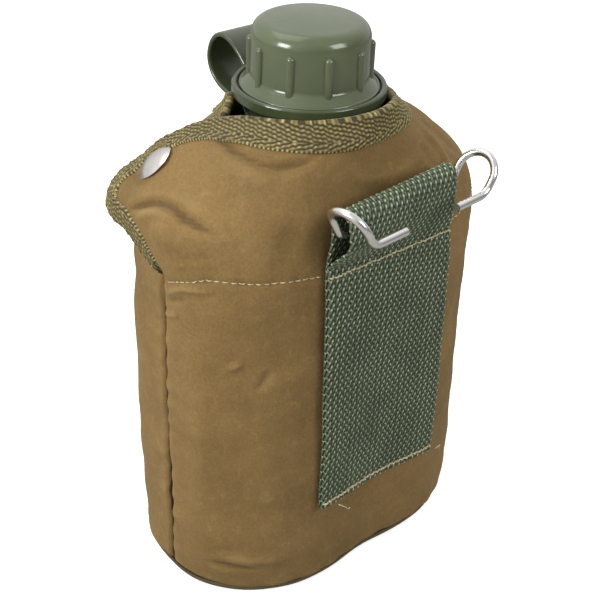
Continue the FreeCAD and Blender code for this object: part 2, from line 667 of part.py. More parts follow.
def webbing_hanger():
    turn = WEB_HALF * math.tan(math.radians(TUNNEL_YAW))
    ends = (
        (-WEB_HALF, HOOK_CENTRE.y - turn, TUNNEL_LEFT),
        (WEB_HALF, HOOK_CENTRE.y + turn, TUNNEL_RIGHT),
    )
    outside = Part.makeLoft([webbing_end(*end) for end in ends], True, True)
    inside = Part.makeLoft([tunnel_end(x * 1.02, middle, half) for x, middle, half in ends], True, True)
    return outside.cut(inside).cut(tunnel_mouth(-1)).cut(tunnel_mouth(1))


def bend(position, direction, toward, radius, angle):
    """Arc that leaves position along direction and turns towards another direction. Returns its edge and end."""
    across = toward - direction * toward.dot(direction)
    across.normalize()
    centre = position + across * radius

    def at(turn):
        return centre - across * (radius * math.cos(turn)) + direction * (radius * math.sin(turn))

    edge = Part.Arc(position, at(angle / 2), at(angle)).toShape()
    return edge, at(angle), direction * math.cos(angle) + across * math.sin(angle)


def hook_half(side):
    """Edges of one half of the bent wire, from the middle of the bar to the tip."""
    splay = math.radians(HOOK_SPLAY)
    along = Vector(side, 0, 0)
    leg = Vector(side * math.sin(splay), 0, math.cos(splay))
    forward = Vector(0, -1, 0)
    corner_turn = along.getAngle(leg)
    setback = HOOK_CORNER * math.tan(corner_turn / 2)
    here = Vector(0, 0, 0)
    edges = []
    turns = (
        (HOOK_BAR - setback, leg, HOOK_CORNER, corner_turn),
        (HOOK_LEG - setback, forward, HOOK_ARC, math.radians(HOOK_SWEEP)),
        (HOOK_DROP, along * -1, HOOK_BEND, None),
    )
    direction = along
    for straight, toward, radius, turn in turns:
        ahead = here + direction * straight
        edges.append(Part.makeLine(here, ahead))
        if turn is None:
            turn = direction.getAngle(toward)
        edge, here, direction = bend(ahead, direction, toward, radius, turn)
        edges.append(edge)
    edges.append(Part.makeLine(here, here + direction * HOOK_TIP))
    return edges


def hook_rotation():
    yaw = FreeCAD.Rotation(Vector(0, 0, 1), HOOK_YAW)
    roll = FreeCAD.Rotation(Vector(0, 1, 0), HOOK_ROLL)
    lean = FreeCAD.Rotation(Vector(1, 0, 0), HOOK_LEAN)
    return yaw.multiply(roll).multiply(lean)


def wire_hook():
    halves = []
    for side in (-1, 1):
        path = Part.Wire(hook_half(side))
        disc = Part.Wire(Part.makeCircle(WIRE_R, Vector(0, 0, 0), Vector(1, 0, 0)))
        halves.append(path.makePipeShell([disc], True, False, 2))
    hook = halves[0].fuse(halves[1]).removeSplitter()
    hook.Placement = FreeCAD.Placement(HOOK_CENTRE, hook_rotation())
    return hook


# --- Assembly ---------------------------------------------------------------------------------------------

def build():
    places = {"left": snap_place(-1), "right": snap_place(1)}
    back, front, floor, flaps = cover_panels(places)
    lining_back, lining_front = linings(places)
    nodes = {
        "bottle_body": bottle_body(),
        "cap_shell": cap_shell(),
        "cap_gasket": cap_gasket(),
        "keeper_ring": keeper_ring(),
        "keeper_loop": keeper_loop(),
        "keeper_collar": keeper_collar(),
        "cover_back_panel": back,
        "cover_front_panel": front,
        "cover_bottom_panel": floor,
        "lining_back": lining_back,
        "lining_front": lining_front,
        "binding_hip_collar": binding_hip_collar(),
        "binding_outer_edge": binding_outer_edge(places),
        "webbing_hanger": webbing_hanger(),
        "wire_hook": wire_hook(),
    }
    for name, side in (("left", -1), ("right", 1)):
        place = places[name]
        nodes["flap_" + name] = flaps[name]
        nodes["binding_flap_" + name] = binding_flap(side, place)
        nodes["binding_slit_" + name] = binding_slit(side)
        for part, shape in snap_parts(place).items():
            nodes[part + "_" + name] = shape
    return nodes


os.makedirs("parts", exist_ok=True)
for node, shape in build().items():
    shape.exportStep("parts/" + node + ".step")
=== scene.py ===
"""Looks of the belt canteen: cloth cover, binding tape, webbing hanger, stitches, plastics and metals."""
import math

import bpy
import numpy as np
from mathutils import Matrix, Vector
from mathutils.bvhtree import BVHTree


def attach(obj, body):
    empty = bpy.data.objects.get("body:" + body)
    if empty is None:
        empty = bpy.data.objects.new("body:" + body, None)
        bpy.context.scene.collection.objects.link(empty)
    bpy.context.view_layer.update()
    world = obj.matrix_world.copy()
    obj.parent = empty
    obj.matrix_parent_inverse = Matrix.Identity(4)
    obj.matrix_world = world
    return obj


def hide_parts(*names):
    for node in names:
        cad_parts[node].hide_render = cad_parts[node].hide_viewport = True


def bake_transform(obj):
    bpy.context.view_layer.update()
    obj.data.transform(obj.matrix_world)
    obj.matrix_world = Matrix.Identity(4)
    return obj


MM = 0.001                # the geometry below is written in millimetres

# --- Cover form ---
# The CAD cover's sections, except that the right shoulder stands closer to the neck above a height of 169.
# height, half width right, half width left, depth to the hip side, depth to the outer side, roundness
LEVELS = np.array((
    (14, 67, 67, 50.5, 41, 0),
    (50, 67, 67, 50.5, 41, 0),
    (90, 67, 67, 49.6, 41, 0),
    (120, 67, 67, 48.6, 41, 0),
    (136, 67, 67.2, 47.6, 41, 0.02),
    (146, 66.4, 69.6, 45.4, 40, 0.06),
    (154, 62.6, 70.6, 42.6, 38, 0.14),
    (159, 57.4, 67.6, 40.8, 36.6, 0.22),
    (164, 52.6, 62, 39.2, 35.4, 0.34),
    (169, 46, 55.4, 37.6, 34.2, 0.48),
    (174, 36.4, 48.4, 35.8, 33.2, 0.64),
    (179, 29.2, 41, 34, 32.4, 0.82),
    (184, 27.4, 34, 31.6, 32, 1),
    (192, 27.2, 31.6, 31, 31.6, 1),
))
POWER_HIP = 2.25          # squareness of the hip side, where 2 is an ellipse
POWER_OUTER = 2.6
HOLLOW = 5.0              # depth of the hollow down the middle of the hip side
HOLLOW_WIDTH = 24.0
EASE = (-3.0, -1.5, 0.0, 1.5, 3.0)       # the corners between the sections are averaged over these heights
BOTTOM_ROUND = 4.5        # rounding under the hem
ROUND_RIGHT = 5.5         # the right end is softer by this much
SEAM_Y = -6.0
SEAM_TOP = 136.0
SEAM_OUT = 55.0           # the side seams are further out in x than this
HEM_Z = 3.5
LAP = 3.6                 # how far the outer panel lies under the flaps
LAP_COLLAR = 2.8          # the outer collar stands this much closer to the neck still
LAP_FROM = 130.0          # the first reaches its full depth between these two heights
LAP_FULL = 144.0
LAP_COLLAR_FROM = 166.0   # and the second between these two
LAP_COLLAR_FULL = 178.0
CLOTH = 1.0
LINING = 1.4
LINING_DEEP = 2.6         # depth of the lining's outer face under the plain form
LINING_TOP = 176.0
GRID = 1.0                # spacing of the cloth meshes
FAR = 90.0                # y beyond the cover on either side
HIP_SPAN = (118.0, 422.0)                # section angles that each side's panel covers, in degrees
OUTER_SPAN = (-16.0, 196.0)

# The bound edge of each shoulder flap in side view (y, z), from the collar down to the top of the side seam.
FLAP_EDGES = {
    -1: ((-31.6, 185.2), (-25, 185.2), (-17, 185), (-10, 184.4), (-3, 182.8), (5, 180), (12.5, 175.8),
         (18.8, 170), (22.4, 164.2), (23.8, 158.5), (23.8, 153), (21.8, 148.8), (17.6, 146.6), (12.6, 146.4),
         (7.4, 143.8), (1.6, 139.8), (-6, 136)),
    1: ((-31.6, 185.2), (-27, 184.6), (-20, 182.6), (-12, 181), (-4, 179.6), (4, 177.4), (12, 172),
        (18, 165), (21.8, 158), (22.4, 153), (20, 149.6), (15, 148.4), (10, 147.4),
        (5.6, 144.4), (0.6, 140.4), (-6, 136)),
}
OUTER_EDGE = ((-6, 136), (-5, 143), (-3, 150), (0, 157), (2, 164), (4.5, 170), (7.5, 175.5),
              (10, 180), (12, 183.2))
SCOOP_FLOOR = 171.0       # the outer collar is scooped out under the keeper strap
SCOOP_STEPS = ((9.0, 6.0, 8.0), (19.0, 8.0, 5.6))    # from this far out, over this far, it rises this much

SNAPS = (Vector((-55.2, 14, 166)), Vector((55.2, 14, 157.8)))
SNAP_CALM = 11.0          # the cloth lies flat this far round a snap
SNAP_DENT = (0.5, 8.6, 1.6)              # and is pressed in round it: depth, radius and width of the ring

WEB_HALF = 28.5           # half the webbing's width
WEB_THICK = 1.5
WEB_OFF = 0.4             # gap between the webbing and the cover
WEB_BOTTOM = 41.0
WEB_HEM = 43.2            # heights of its two stitch lines: the foot's, and the one that closes the tunnel
WEB_STITCH = 139.8
WEB_TOP = 165.2
TUNNEL_MIDDLE = -46.85    # y of the tunnel's middle
TUNNEL_YAW = 5.4
TUNNEL_LEFT = 3.4         # half the tunnel's depth at each end
TUNNEL_RIGHT = 2.6
TUNNEL_NARROW = 0.045     # share by which the webbing narrows where the hook's bends turn round it
TUNNEL_FROM = 146.0       # it narrows over this much above this height
TUNNEL_OVER = 8.0

# The keeper strap's middle line in side view (y, z), from the ring out and back to the neck band.
STRAP_SPINE = (
    (25.6, 186), (29.6, 189.6), (35, 192.6), (40.5, 193), (45, 189.6), (47.2, 183.2), (45.2, 177.4),
    (40, 173.6), (33, 172.2), (27.5, 173.6), (22.4, 176.4),
)
STRAP_WIDTH = 18.0
STRAP_THICK = 1.8

rng = np.random.default_rng(11)


# --- Small helpers ---

def smooth(t):
    t = np.clip(t, 0.0, 1.0)
    return t * t * (3.0 - 2.0 * t)


def bell(t):
    return np.exp(-t ** 2)


def unit(v):
    return v / np.maximum(np.linalg.norm(v, axis=-1, keepdims=True), 1e-9)


def running(line):
    """Length along a polyline up to each of its points."""
    return np.concatenate([[0.0], np.cumsum(np.linalg.norm(np.diff(line, axis=0), axis=1))])


def directions(line):
    """Unit directions along a polyline."""
    return unit(np.gradient(line, axis=0))


def spline(points, step):
    """Catmull-Rom curve through points, evenly spaced by about step."""
    p = np.array(points, float)
    p = np.vstack([2 * p[0] - p[1], p, 2 * p[-1] - p[-2]])
    t = np.linspace(0, 1, 40, endpoint=False)[:, None]
    parts = []
    for a, b, c, d in zip(p, p[1:], p[2:], p[3:]):
        parts.append(0.5 * (2 * b + (c - a) * t + (2 * a - 5 * b + 4 * c - d) * t ** 2
                            + (3 * b - a - 3 * c + d) * t ** 3))
    return even(np.vstack(parts + [p[-2:-1]]), step)


def even(line, step):
    """The same polyline with points spaced evenly by about step."""
    run = running(line)
    count = max(2, int(round(run[-1] / step)) + 1)
    where = np.linspace(0, run[-1], count)
    return np.stack([np.interp(where, run, line[:, k]) for k in range(line.shape[1])], 1)


def wave(t, length, shift=0.0):
    return np.sin(t * 2 * math.pi / length + shift)


def wander(points, scale, seed):
    """Smooth random field, about -1 to 1, with features of about this scale."""
    waves = 7
    source = np.random.default_rng(seed)
    total = np.zeros(points.shape[:-1])
    for _ in range(waves):
        direction = unit(source.normal(size=3))
        pitch = scale * source.uniform(0.7, 1.6)
        total += np.sin(points @ direction * (2 * math.pi / pitch) + source.uniform(0, 2 * math.pi))
    return total / math.sqrt(waves)


def nearest(points, path):
    """Distance from each point to a polyline, and how far along it the nearest place is, from 0 to 1."""
    path = np.array(path, float)
    best = np.full(points.shape[:-1], 1e9)
    share = np.zeros(points.shape[:-1])
    for k, (a, b) in enumerate(zip(path, path[1:])):
        along = b - a
        t = np.clip((points - a) @ along / (along @ along), 0, 1)
        gap = np.linalg.norm(points - (a + t[..., None] * along), axis=-1)
        share = np.where(gap < best, (k + t) / (len(path) - 1), share)
        best = np.minimum(gap, best)
    return best, share


def fold_profile(gap, share, width):
    """Cross profile of a fold: 1 on its line, a trough beside it, and fading out towards the path's ends."""
    end = 0.3                 # share of the path over which it fades
    trough = 0.35             # depth of the trough, and its width in widths of the fold
    trough_width = 2.2
    fade = smooth(share / end) * smooth((1 - share) / end)
    spread = width * (0.55 + 0.45 * fade)
    return fade * (bell(gap / spread) - trough * bell(gap / (trough_width * spread)))


def size(column, z):
    """One column of LEVELS at height z, with its corners eased."""
    return np.mean([np.interp(z + t, LEVELS[:, 0], LEVELS[:, column]) for t in EASE], axis=0)


def section(angle, z, grow):
    """Point of the cover's surface moved out by grow."""
    span = 2.0            # height over which the wall's slope is taken
    sizes = []
    for column in (1, 2, 3, 4):
        slope = size(column, z + span / 2) - size(column, z - span / 2)
        length = np.hypot(span, slope)
        sizes.append(size(column, z + slope / length * grow) + span / length * grow)
    right, left, hip, outer = sizes
    roundness = size(5, z)
    c = np.cos(angle)
    s = np.sin(angle)
    square = np.where(s < 0, POWER_HIP, POWER_OUTER)
    power = square + (2.0 - square) * roundness
    middle = SEAM_Y * (1.0 - roundness)
    width = np.where(c > 0, right, left)
    depth = np.where(s < 0, hip + middle, outer - middle)
    x = np.sign(c) * width * np.abs(c) ** (2.0 / power)
    y = middle + np.sign(s) * depth * np.abs(s) ** (2.0 / power)
    y = y + np.where(s < 0, HOLLOW * (1.0 - roundness) * s * s * bell(x / HOLLOW_WIDTH), 0.0)
    return np.stack([x, y, z + 0.0 * x], -1)


def inset(angle, z):
    """How far the surface pulls in below the rounded bottom edge."""
    radius = BOTTOM_ROUND + ROUND_RIGHT * np.clip(np.cos(angle), 0.0, 1.0) ** 2
    drop = np.clip((radius - z) / radius, 0.0, 1.0)
    return radius * (1.0 - np.sqrt(1.0 - drop ** 2))


def even_angles(start, end):
    """Section angles between two angles in degrees, spaced by about GRID along the middle of the cover."""
    angle = np.radians(np.linspace(start, end, 2000))
    run = running(section(angle, np.full(len(angle), 100.0), 0.0))
    count = int(run[-1] / GRID) + 1
    return np.interp(np.linspace(0, run[-1], count), run, angle)


def grid_normals(points):
    across = np.gradient(points, axis=1)
    up = np.gradient(points, axis=0)
    return unit(np.cross(across, up))


def side_point(side, y, z, grow=0.0):
    """Point of the cover's surface on one side, at (y, z)."""
    low = np.full(np.shape(y), 90.0)
    high = np.full(np.shape(y), 270.0 if side < 0 else -90.0)
    for _ in range(40):
        middle = 0.5 * (low + high)
        found = section(np.radians(middle), z, grow)[..., 1]
        low = np.where(found > y, middle, low)
        high = np.where(found > y, high, middle)
    return section(np.radians(0.5 * (low + high)), z, grow)


def outline_distance(y, z, outline):
    """Signed distance in side view to a closed outline, positive inside."""
    corners = np.array(outline, float)
    inside = np.zeros(y.shape, bool)
    best = np.full(y.shape, 1e9)
    for a, b in zip(corners, np.roll(corners, -1, axis=0)):
        along = b - a
        share = np.clip(((y - a[0]) * along[0] + (z - a[1]) * along[1]) / max(along @ along, 1e-12), 0, 1)
        best = np.minimum(best, np.hypot(y - a[0] - share * along[0], z - a[1] - share * along[1]))
        if a[1] != b[1]:
            crossing = ((a[1] > z) != (b[1] > z)) & (y < a[0] + (z - a[1]) * along[0] / along[1])
            inside ^= crossing
    return np.where(inside, best, -best)


# --- Mesh building ---

def build(name, points, faces, material, uv=None, normals=None):
    mesh = bpy.data.meshes.new(name)
    mesh.from_pydata((np.asarray(points) * MM).tolist(), [], faces)
    if uv is not None:
        layer = mesh.uv_layers.new(name="UVMap")
        loops = np.zeros(len(mesh.loops), np.int32)
        mesh.loops.foreach_get("vertex_index", loops)
        layer.data.foreach_set("uv", np.asarray(uv, np.float32)[loops].ravel())
    mesh.polygons.foreach_set("use_smooth", np.ones(len(mesh.polygons), bool))
    mesh.materials.append(material)
    mesh.update()
    if normals is not None:
        mesh.normals_split_custom_set_from_vertices(np.asarray(normals).tolist())
    thing = bpy.data.objects.new(name, mesh)
    bpy.context.scene.collection.objects.link(thing)
    return thing


def paint(thing, name, values):
    """Stores one number per vertex for the material to use."""
    layer = thing.data.attributes.new(name, "FLOAT", "POINT")
    layer.data.foreach_set("value", np.asarray(values, np.float32).ravel())


def thicken(thing, thickness):
    """Gives a sheet its thickness, inwards from its face."""
    modifier = thing.modifiers.new("thickness", "SOLIDIFY")
    modifier.thickness = thickness * MM
    modifier.offset = -1.0
    modifier.use_rim = True
    return thing


def grid_faces(rows, columns, wrap_columns=False):
    faces = []
    for here in range(0, (rows - 1) * columns, columns):
        above = here + columns
        for j in range(columns if wrap_columns else columns - 1):
            ahead = (j + 1) % columns
            faces.append((here + j, here + ahead, above + ahead, above + j))
    return faces


def sweep_faces(rows, columns, flip=False):
    """Faces of a closed sweep: its rings joined in order, with one face over each end."""
    last = (rows - 1) * columns
    faces = grid_faces(rows, columns, wrap_columns=True)
    faces += [tuple(range(columns))[::-1], tuple(range(last, last + columns))]
    return [face[::-1] for face in faces] if flip else faces


def clip(data, field):
    """Part of a grid where field is above 0. Returns its rows of data and its faces."""
    keep = field > 0
    index = np.full(field.shape, -1)
    index[keep] = np.arange(keep.sum())
    kept = list(data[keep])
    corners = (keep[:-1, :-1], keep[:-1, 1:], keep[1:, 1:], keep[1:, :-1])
    whole = corners[0] & corners[1] & corners[2] & corners[3]
    some = (corners[0] | corners[1] | corners[2] | corners[3]) & ~whole
    i, j = np.nonzero(whole)
    faces = np.stack([index[i, j], index[i, j + 1], index[i + 1, j + 1], index[i + 1, j]], 1).tolist()
    cuts = {}
    for i, j in zip(*np.nonzero(some)):
        ring = [(i, j), (i, j + 1), (i + 1, j + 1), (i + 1, j)]
        loop = []
        for a, b in zip(ring, ring[1:] + ring[:1]):
            if keep[a]:
                loop.append(int(index[a]))
            if keep[a] != keep[b]:
                key = (min(a, b), max(a, b))
                if key not in cuts:
                    share = field[a] / (field[a] - field[b])
                    cuts[key] = len(kept)
                    kept.append(data[a] + share * (data[b] - data[a]))
                loop.append(cuts[key])
        if len(loop) > 2:
            faces.append(loop)
    return np.array(kept), faces


def surface_tree(points):
    """Tree over a whole grid, to lay tape and thread on it."""
    rows, columns = points.shape[:2]
    return BVHTree.FromPolygons([Vector(p) for p in points.reshape(-1, 3)], grid_faces(rows, columns))


def settle(line, tree):
    """Nearest surface points and outward normals for a polyline."""
    found = [tree.find_nearest(Vector(p)) for p in line]
    return np.array([place for place, *_ in found]), np.array([normal for _, normal, *_ in found])


def cast_back(line, tree):
    """Points where a line's points meet a surface when moved straight towards +Y, and its normals there."""
    spots = []
    normals = []
    for p in line:
        place, normal, _, _ = tree.ray_cast(Vector(p), Vector((0.0, 1.0, 0.0)))
        if place is not None:
            spots.append(place)
            normals.append(-normal if normal.y > 0 else normal)
    return np.array(spots), np.array(normals)


def tube(path, radius):
    """Points and faces of a thin round tube along a path, closed at both ends. radius may vary along it."""
    sides = 6
    ahead = directions(path)
    first = unit(np.cross(ahead, (0.31, 0.17, 0.93)))      # a direction that no path takes
    second = np.cross(ahead, first)
    turn = np.linspace(0, 2 * math.pi, sides, endpoint=False)[:, None]
    ring = first[:, None] * np.cos(turn) + second[:, None] * np.sin(turn)
    points = path[:, None] + ring * np.broadcast_to(radius, len(path))[:, None, None]
    return points.reshape(-1, 3), sweep_faces(len(path), sides)


def join(parts):
    """One list of points and faces out of several."""
    points = []
    faces = []
    start = 0
    for some_points, some_faces in parts:
        points.append(some_points)
        faces += [tuple(start + k for k in face) for face in some_faces]
        start += len(some_points)
    return np.vstack(points), faces


def stitches(line, normals, pitch, share, radius, lift):
    """Thread stitches along a line: each fills this share of its pitch and dips in at both ends."""
    run = even(np.hstack([line, normals]), pitch)
    t = np.linspace(0, 1, 7)[:, None]
    hump = np.sin(math.pi * t)
    parts = []
    for a, b in zip(run, run[1:]):
        start = a + (b - a) * (1 - share) / 2
        end = b - (b - a) * (1 - share) / 2
        sway = rng.uniform(-0.12, 0.12)
        normal = unit(a[3:])
        beside = unit(np.cross(normal, b[:3] - a[:3]))
        height = lift * hump - radius * 0.7 * (1 - hump)
        path = start[:3] + (end[:3] - start[:3]) * t + normal * height + beside * sway * (2 * t - 1)
        parts.append(tube(path, radius * (0.75 + 0.25 * hump[:, 0])))
    return join(parts)


def assign(piece, nodes=(), body="root"):
    """Attaches a piece to the body that it rides on, unless body is none, and hides the nodes it replaces."""
    if body:
        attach(piece, body)
    if nodes:
        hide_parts(*nodes)


# --- Materials ---

class Nodes:
    """A node tree, with short calls for the nodes used here. Every value may be a number or a socket."""

    def __init__(self, tree):
        self.tree = tree

    def feed(self, node, inputs):
        for key, value in inputs.items():
            if isinstance(value, bpy.types.NodeSocket):
                self.tree.links.new(value, node.inputs[key])
            else:
                node.inputs[key].default_value = value

    def add(self, kind, inputs, **settings):
        node = self.tree.nodes.new("ShaderNode" + kind)
        for key, value in settings.items():
            setattr(node, key, value)
        self.feed(node, inputs)
        return node.outputs

    def calc(self, operation, a, b):
        return self.add("Math", {0: a, 1: b}, operation=operation)[0]

    def mix(self, share, a, b, blend="MIX"):
        return self.add("Mix", {0: share, 6: a, 7: b}, data_type="RGBA", blend_type=blend)[2]

    def ramp(self, value, low, high, amount=1.0):
        """Eased 0 to amount as value goes from low to high."""
        inputs = {0: value, 1: low, 2: high, 4: amount}
        return self.add("MapRange", inputs, interpolation_type="SMOOTHSTEP")[0]

    def stretch(self, vector, scale):
        return self.add("Mapping", {"Vector": vector, "Scale": scale})[0]

    def seen(self):
        """1 to the camera and 0 to bounced light."""
        return self.add("LightPath", {})["Is Camera Ray"]


class Shader(Nodes):
    """A new material."""

    def __init__(self, name):
        self.material = bpy.data.materials.new(name)
        self.material.use_nodes = True
        super().__init__(self.material.node_tree)
        coordinates = self.add("TexCoord", {})
        self.place = coordinates["Object"]
        self.uv = coordinates["UV"]

    def noise(self, scale, detail=3.0, rough=0.55, at=None):
        """Noise of this scale per metre over the object, or over the vector at."""
        vector = self.place if at is None else at
        inputs = {"Vector": vector, "Scale": scale, "Detail": detail, "Roughness": rough}
        return self.add("TexNoise", inputs)[0]

    def painted(self, name):
        """A value painted on the mesh."""
        return self.add("Attribute", {}, attribute_name=name)["Fac"]

    def speckle(self, colour, value, contrast):
        """A colour made lighter and darker by a value, evenly round its own tone."""
        tones = [(0.5 + k * contrast,) * 3 + (1,) for k in (-1, 1)]
        return self.mix(0.9, colour, self.mix(value, *tones), "OVERLAY")

    def finish(self, inputs, heights):
        """Sets the material's inputs and chains its bumps: (value, strength, distance in mm)."""
        for value, strength, distance in heights:
            bump = {"Height": value, "Strength": strength, "Distance": distance * MM}
            if "Normal" in inputs:
                bump["Normal"] = inputs["Normal"]
            inputs["Normal"] = self.add("Bump", bump)[0]
        self.feed(self.tree.nodes["Principled BSDF"], inputs)
        return self.material


def rgb(red, green, blue):
    """Linear colour from a screen colour given as 0 to 255."""
    def linear(c):
        c /= 255.0
        return c / 12.92 if c <= 0.04045 else ((c + 0.055) / 1.055) ** 2.4
    return (linear(red), linear(green), linear(blue), 1.0)


def cloth_material(name, dark, light, dust_and_highlight, crease_shade):
    """Cotton duck: patches, slubby threads and rubbed spots, with a painted highlight paling the fold ridges
    and painted shade darkening the fold valleys.
    """
    shader = Shader(name)
    thread_pitch = 0.55
    slub_along = (0.12, 2.2, 1.0)       # a slub is long along its thread and thin across it
    slub_up = (2.2, 0.12, 1.0)
    broad = shader.noise(26.0, 4.0)
    fine = shader.noise(260.0, 4.0, 0.7)
    grain = shader.noise(1100.0, 3.0, 0.8)
    split = shader.add("SeparateXYZ", {0: shader.uv})
    turns = [shader.calc("MULTIPLY", split[k], 2 * math.pi / thread_pitch) for k in (0, 1)]
    weave = shader.calc("MULTIPLY", *(shader.calc("SINE", turn, 0.0) for turn in turns))
    slubs = [shader.noise(1.0, at=shader.stretch(shader.uv, scale)) for scale in (slub_along, slub_up)]
    threads = shader.calc("MULTIPLY", shader.calc("ADD", *slubs), 0.5)
    colour = shader.mix(shader.ramp(broad, 0.33, 0.68), dark, light)
    colour = shader.mix(shader.ramp(fine, 0.5, 0.75, 0.35), colour, dust_and_highlight)
    colour = shader.mix(shader.ramp(threads, 0.4, 0.62, 0.3), colour, dark)
    colour = shader.speckle(colour, shader.ramp(grain, 0.32, 0.68), 0.07)
    # Painted highlight on the fold ridges, painted shade in the fold valleys.
    fold = shader.painted("fold")
    colour = shader.mix(shader.ramp(fold, 0.54, 1.1, 0.55), colour, dust_and_highlight)
    valley = shader.calc("SUBTRACT", 0.55, shader.ramp(fold, 0.0, 0.44, 0.55))
    colour = shader.mix(valley, colour, crease_shade)
    return shader.finish({
        "Base Color": colour, "Roughness": 0.82, "Specular IOR Level": 0.28, "Sheen Weight": 0.25,
        "Sheen Roughness": 0.45, "Sheen Tint": rgb(190, 170, 130),
    }, ((weave, 0.35, 0.08), (threads, 0.5, 0.15), (fine, 0.35, 0.5), (broad, 0.4, 1.2)))


def woven_material(name, deep, body, tip_highlight, sheen):
    """Relief-woven goods: from the relief value stored on the mesh, painted shade darkens the gaps and a
    painted highlight lights the thread tops.
    """
    shader = Shader(name)
    relief = shader.painted("relief")
    fibre = shader.noise(2600.0, 3.0, 0.8)
    tone = shader.noise(60.0)
    # Painted shade in the gaps between threads, painted highlight on the thread tops.
    colour = shader.mix(shader.ramp(relief, 0.1, 0.62), deep, body)
    colour = shader.mix(shader.ramp(relief, 0.62, 1.05), colour, tip_highlight)
    colour = shader.mix(shader.ramp(tone, 0.35, 0.7, 0.3), colour, deep)
    colour = shader.speckle(colour, fibre, 0.14)
    return shader.finish({
        "Base Color": colour, "Roughness": 0.62, "Specular IOR Level": 0.4, "Sheen Weight": 0.2,
        "Sheen Roughness": 0.4, "Sheen Tint": sheen,
    }, ((fibre, 0.5, 0.12),))


def felt_material():
    """Matted lining felt: clumps with paler fuzz on them."""
    shader = Shader("felt")
    fuzz = shader.noise(900.0, 6.0, 0.75)
    clumps = shader.noise(120.0, 4.0)
    colour = shader.mix(shader.ramp(clumps, 0.3, 0.7), rgb(62, 50, 36), rgb(92, 78, 56))
    colour = shader.mix(shader.ramp(fuzz, 0.45, 0.8), colour, rgb(120, 106, 80))
    return shader.finish({
        "Base Color": colour, "Roughness": 0.95, "Specular IOR Level": 0.1, "Sheen Weight": 0.6,
    }, ((fuzz, 0.9, 0.5), (clumps, 0.5, 1.0)))


def plastic_material(name, dark, light, roughness):
    """Moulded plastic: slightly cloudy, with upright scuffs that take its gloss off."""
    shader = Shader(name)
    cloud = shader.noise(45.0)
    grain = shader.noise(1400.0, 2.0, 0.6)
    scuff = shader.noise(130.0, 6.0, 0.7, shader.stretch(shader.place, (1.0, 1.0, 9.0)))
    gloss = shader.calc("ADD", roughness, shader.calc("MULTIPLY", cloud, 0.08))
    return shader.finish({
        "Base Color": shader.mix(shader.ramp(cloud, 0.3, 0.7), dark, light),
        "Roughness": shader.calc("ADD", gloss, shader.ramp(scuff, 0.62, 0.8, 0.14)),
        "Specular IOR Level": 0.5, "Coat Weight": 0.1, "Coat Roughness": 0.1,
    }, ((grain, 0.06, 0.05), (cloud, 0.05, 0.6)))


def metal_material(name, colour, roughness, streak):
    """Bright metal with a fine brushing and dull spots."""
    shader = Shader(name)
    brushed = shader.noise(900.0, 4.0, 0.7, shader.stretch(shader.place, (streak, 1.0, 1.0)))
    tarnish = shader.ramp(shader.noise(160.0, 4.0), 0.5, 0.8, 0.35)
    return shader.finish({
        "Base Color": shader.mix(tarnish, colour, rgb(150, 142, 130)), "Metallic": 1.0,
        "Roughness": shader.calc("ADD", roughness, shader.calc("MULTIPLY", brushed, 0.1)),
    }, ((brushed, 0.05, 0.05),))


def rubber_material():
    shader = Shader("rubber")
    bloom = shader.noise(220.0, 4.0)
    colour = shader.mix(shader.ramp(bloom, 0.35, 0.75), rgb(38, 38, 36), rgb(64, 63, 60))
    return shader.finish({"Base Color": colour, "Roughness": 0.7}, ((bloom, 0.3, 0.2),))


def thread_material():
    shader = Shader("thread")
    ply = shader.noise(1500.0)
    colour = shader.mix(shader.ramp(ply, 0.35, 0.7), rgb(158, 140, 98), rgb(216, 204, 166))
    return shader.finish({"Base Color": colour, "Roughness": 0.7, "Sheen Weight": 0.2}, ((ply, 0.8, 0.15),))


def floor_material():
    """Pale plain floor: near white to the camera, greyer as a bounce, so that the cover keeps its shading."""
    shader = Shader("studio_floor")
    tooth = shader.noise(300.0)
    seen = shader.seen()
    pale = shader.mix(tooth, (0.86, 0.86, 0.86, 1), (0.92, 0.92, 0.92, 1))
    return shader.finish({
        "Base Color": shader.mix(seen, (0.34, 0.33, 0.32, 1), pale), "Roughness": 0.9,
        "Specular IOR Level": 0.1, "Emission Color": (1, 1, 1, 1),
        "Emission Strength": shader.calc("MULTIPLY", seen, 0.55),
    }, ((tooth, 0.05, 0.1),))


# --- Cover cloth ---

# The lower corner of each flap stands off the side: middle, height, and how far it spreads in x, y and z.
EARS = (
    ((-66, 32, 145), 15.5, (22, 12, 11.5)),
    ((64, 29, 147), 6, (22, 10, 10)),
)

# The long stitch line across the hip side, from the left side seam to the webbing; the right half mirrors it.
STITCH_LINE = (
    (-67.1, -8.9, 134.4), (-66, -16, 137.6), (-63.2, -24, 140.6), (-60.3, -27.6, 141.4),
    (-55.1, -32.3, 141), (-49.9, -35.9, 140.6), (-44.6, -38.6, 140.4), (-38.7, -40.9, 140),
    (-32.3, -42.6, 139.5), (-28.3, -43.2, 139.1),
)

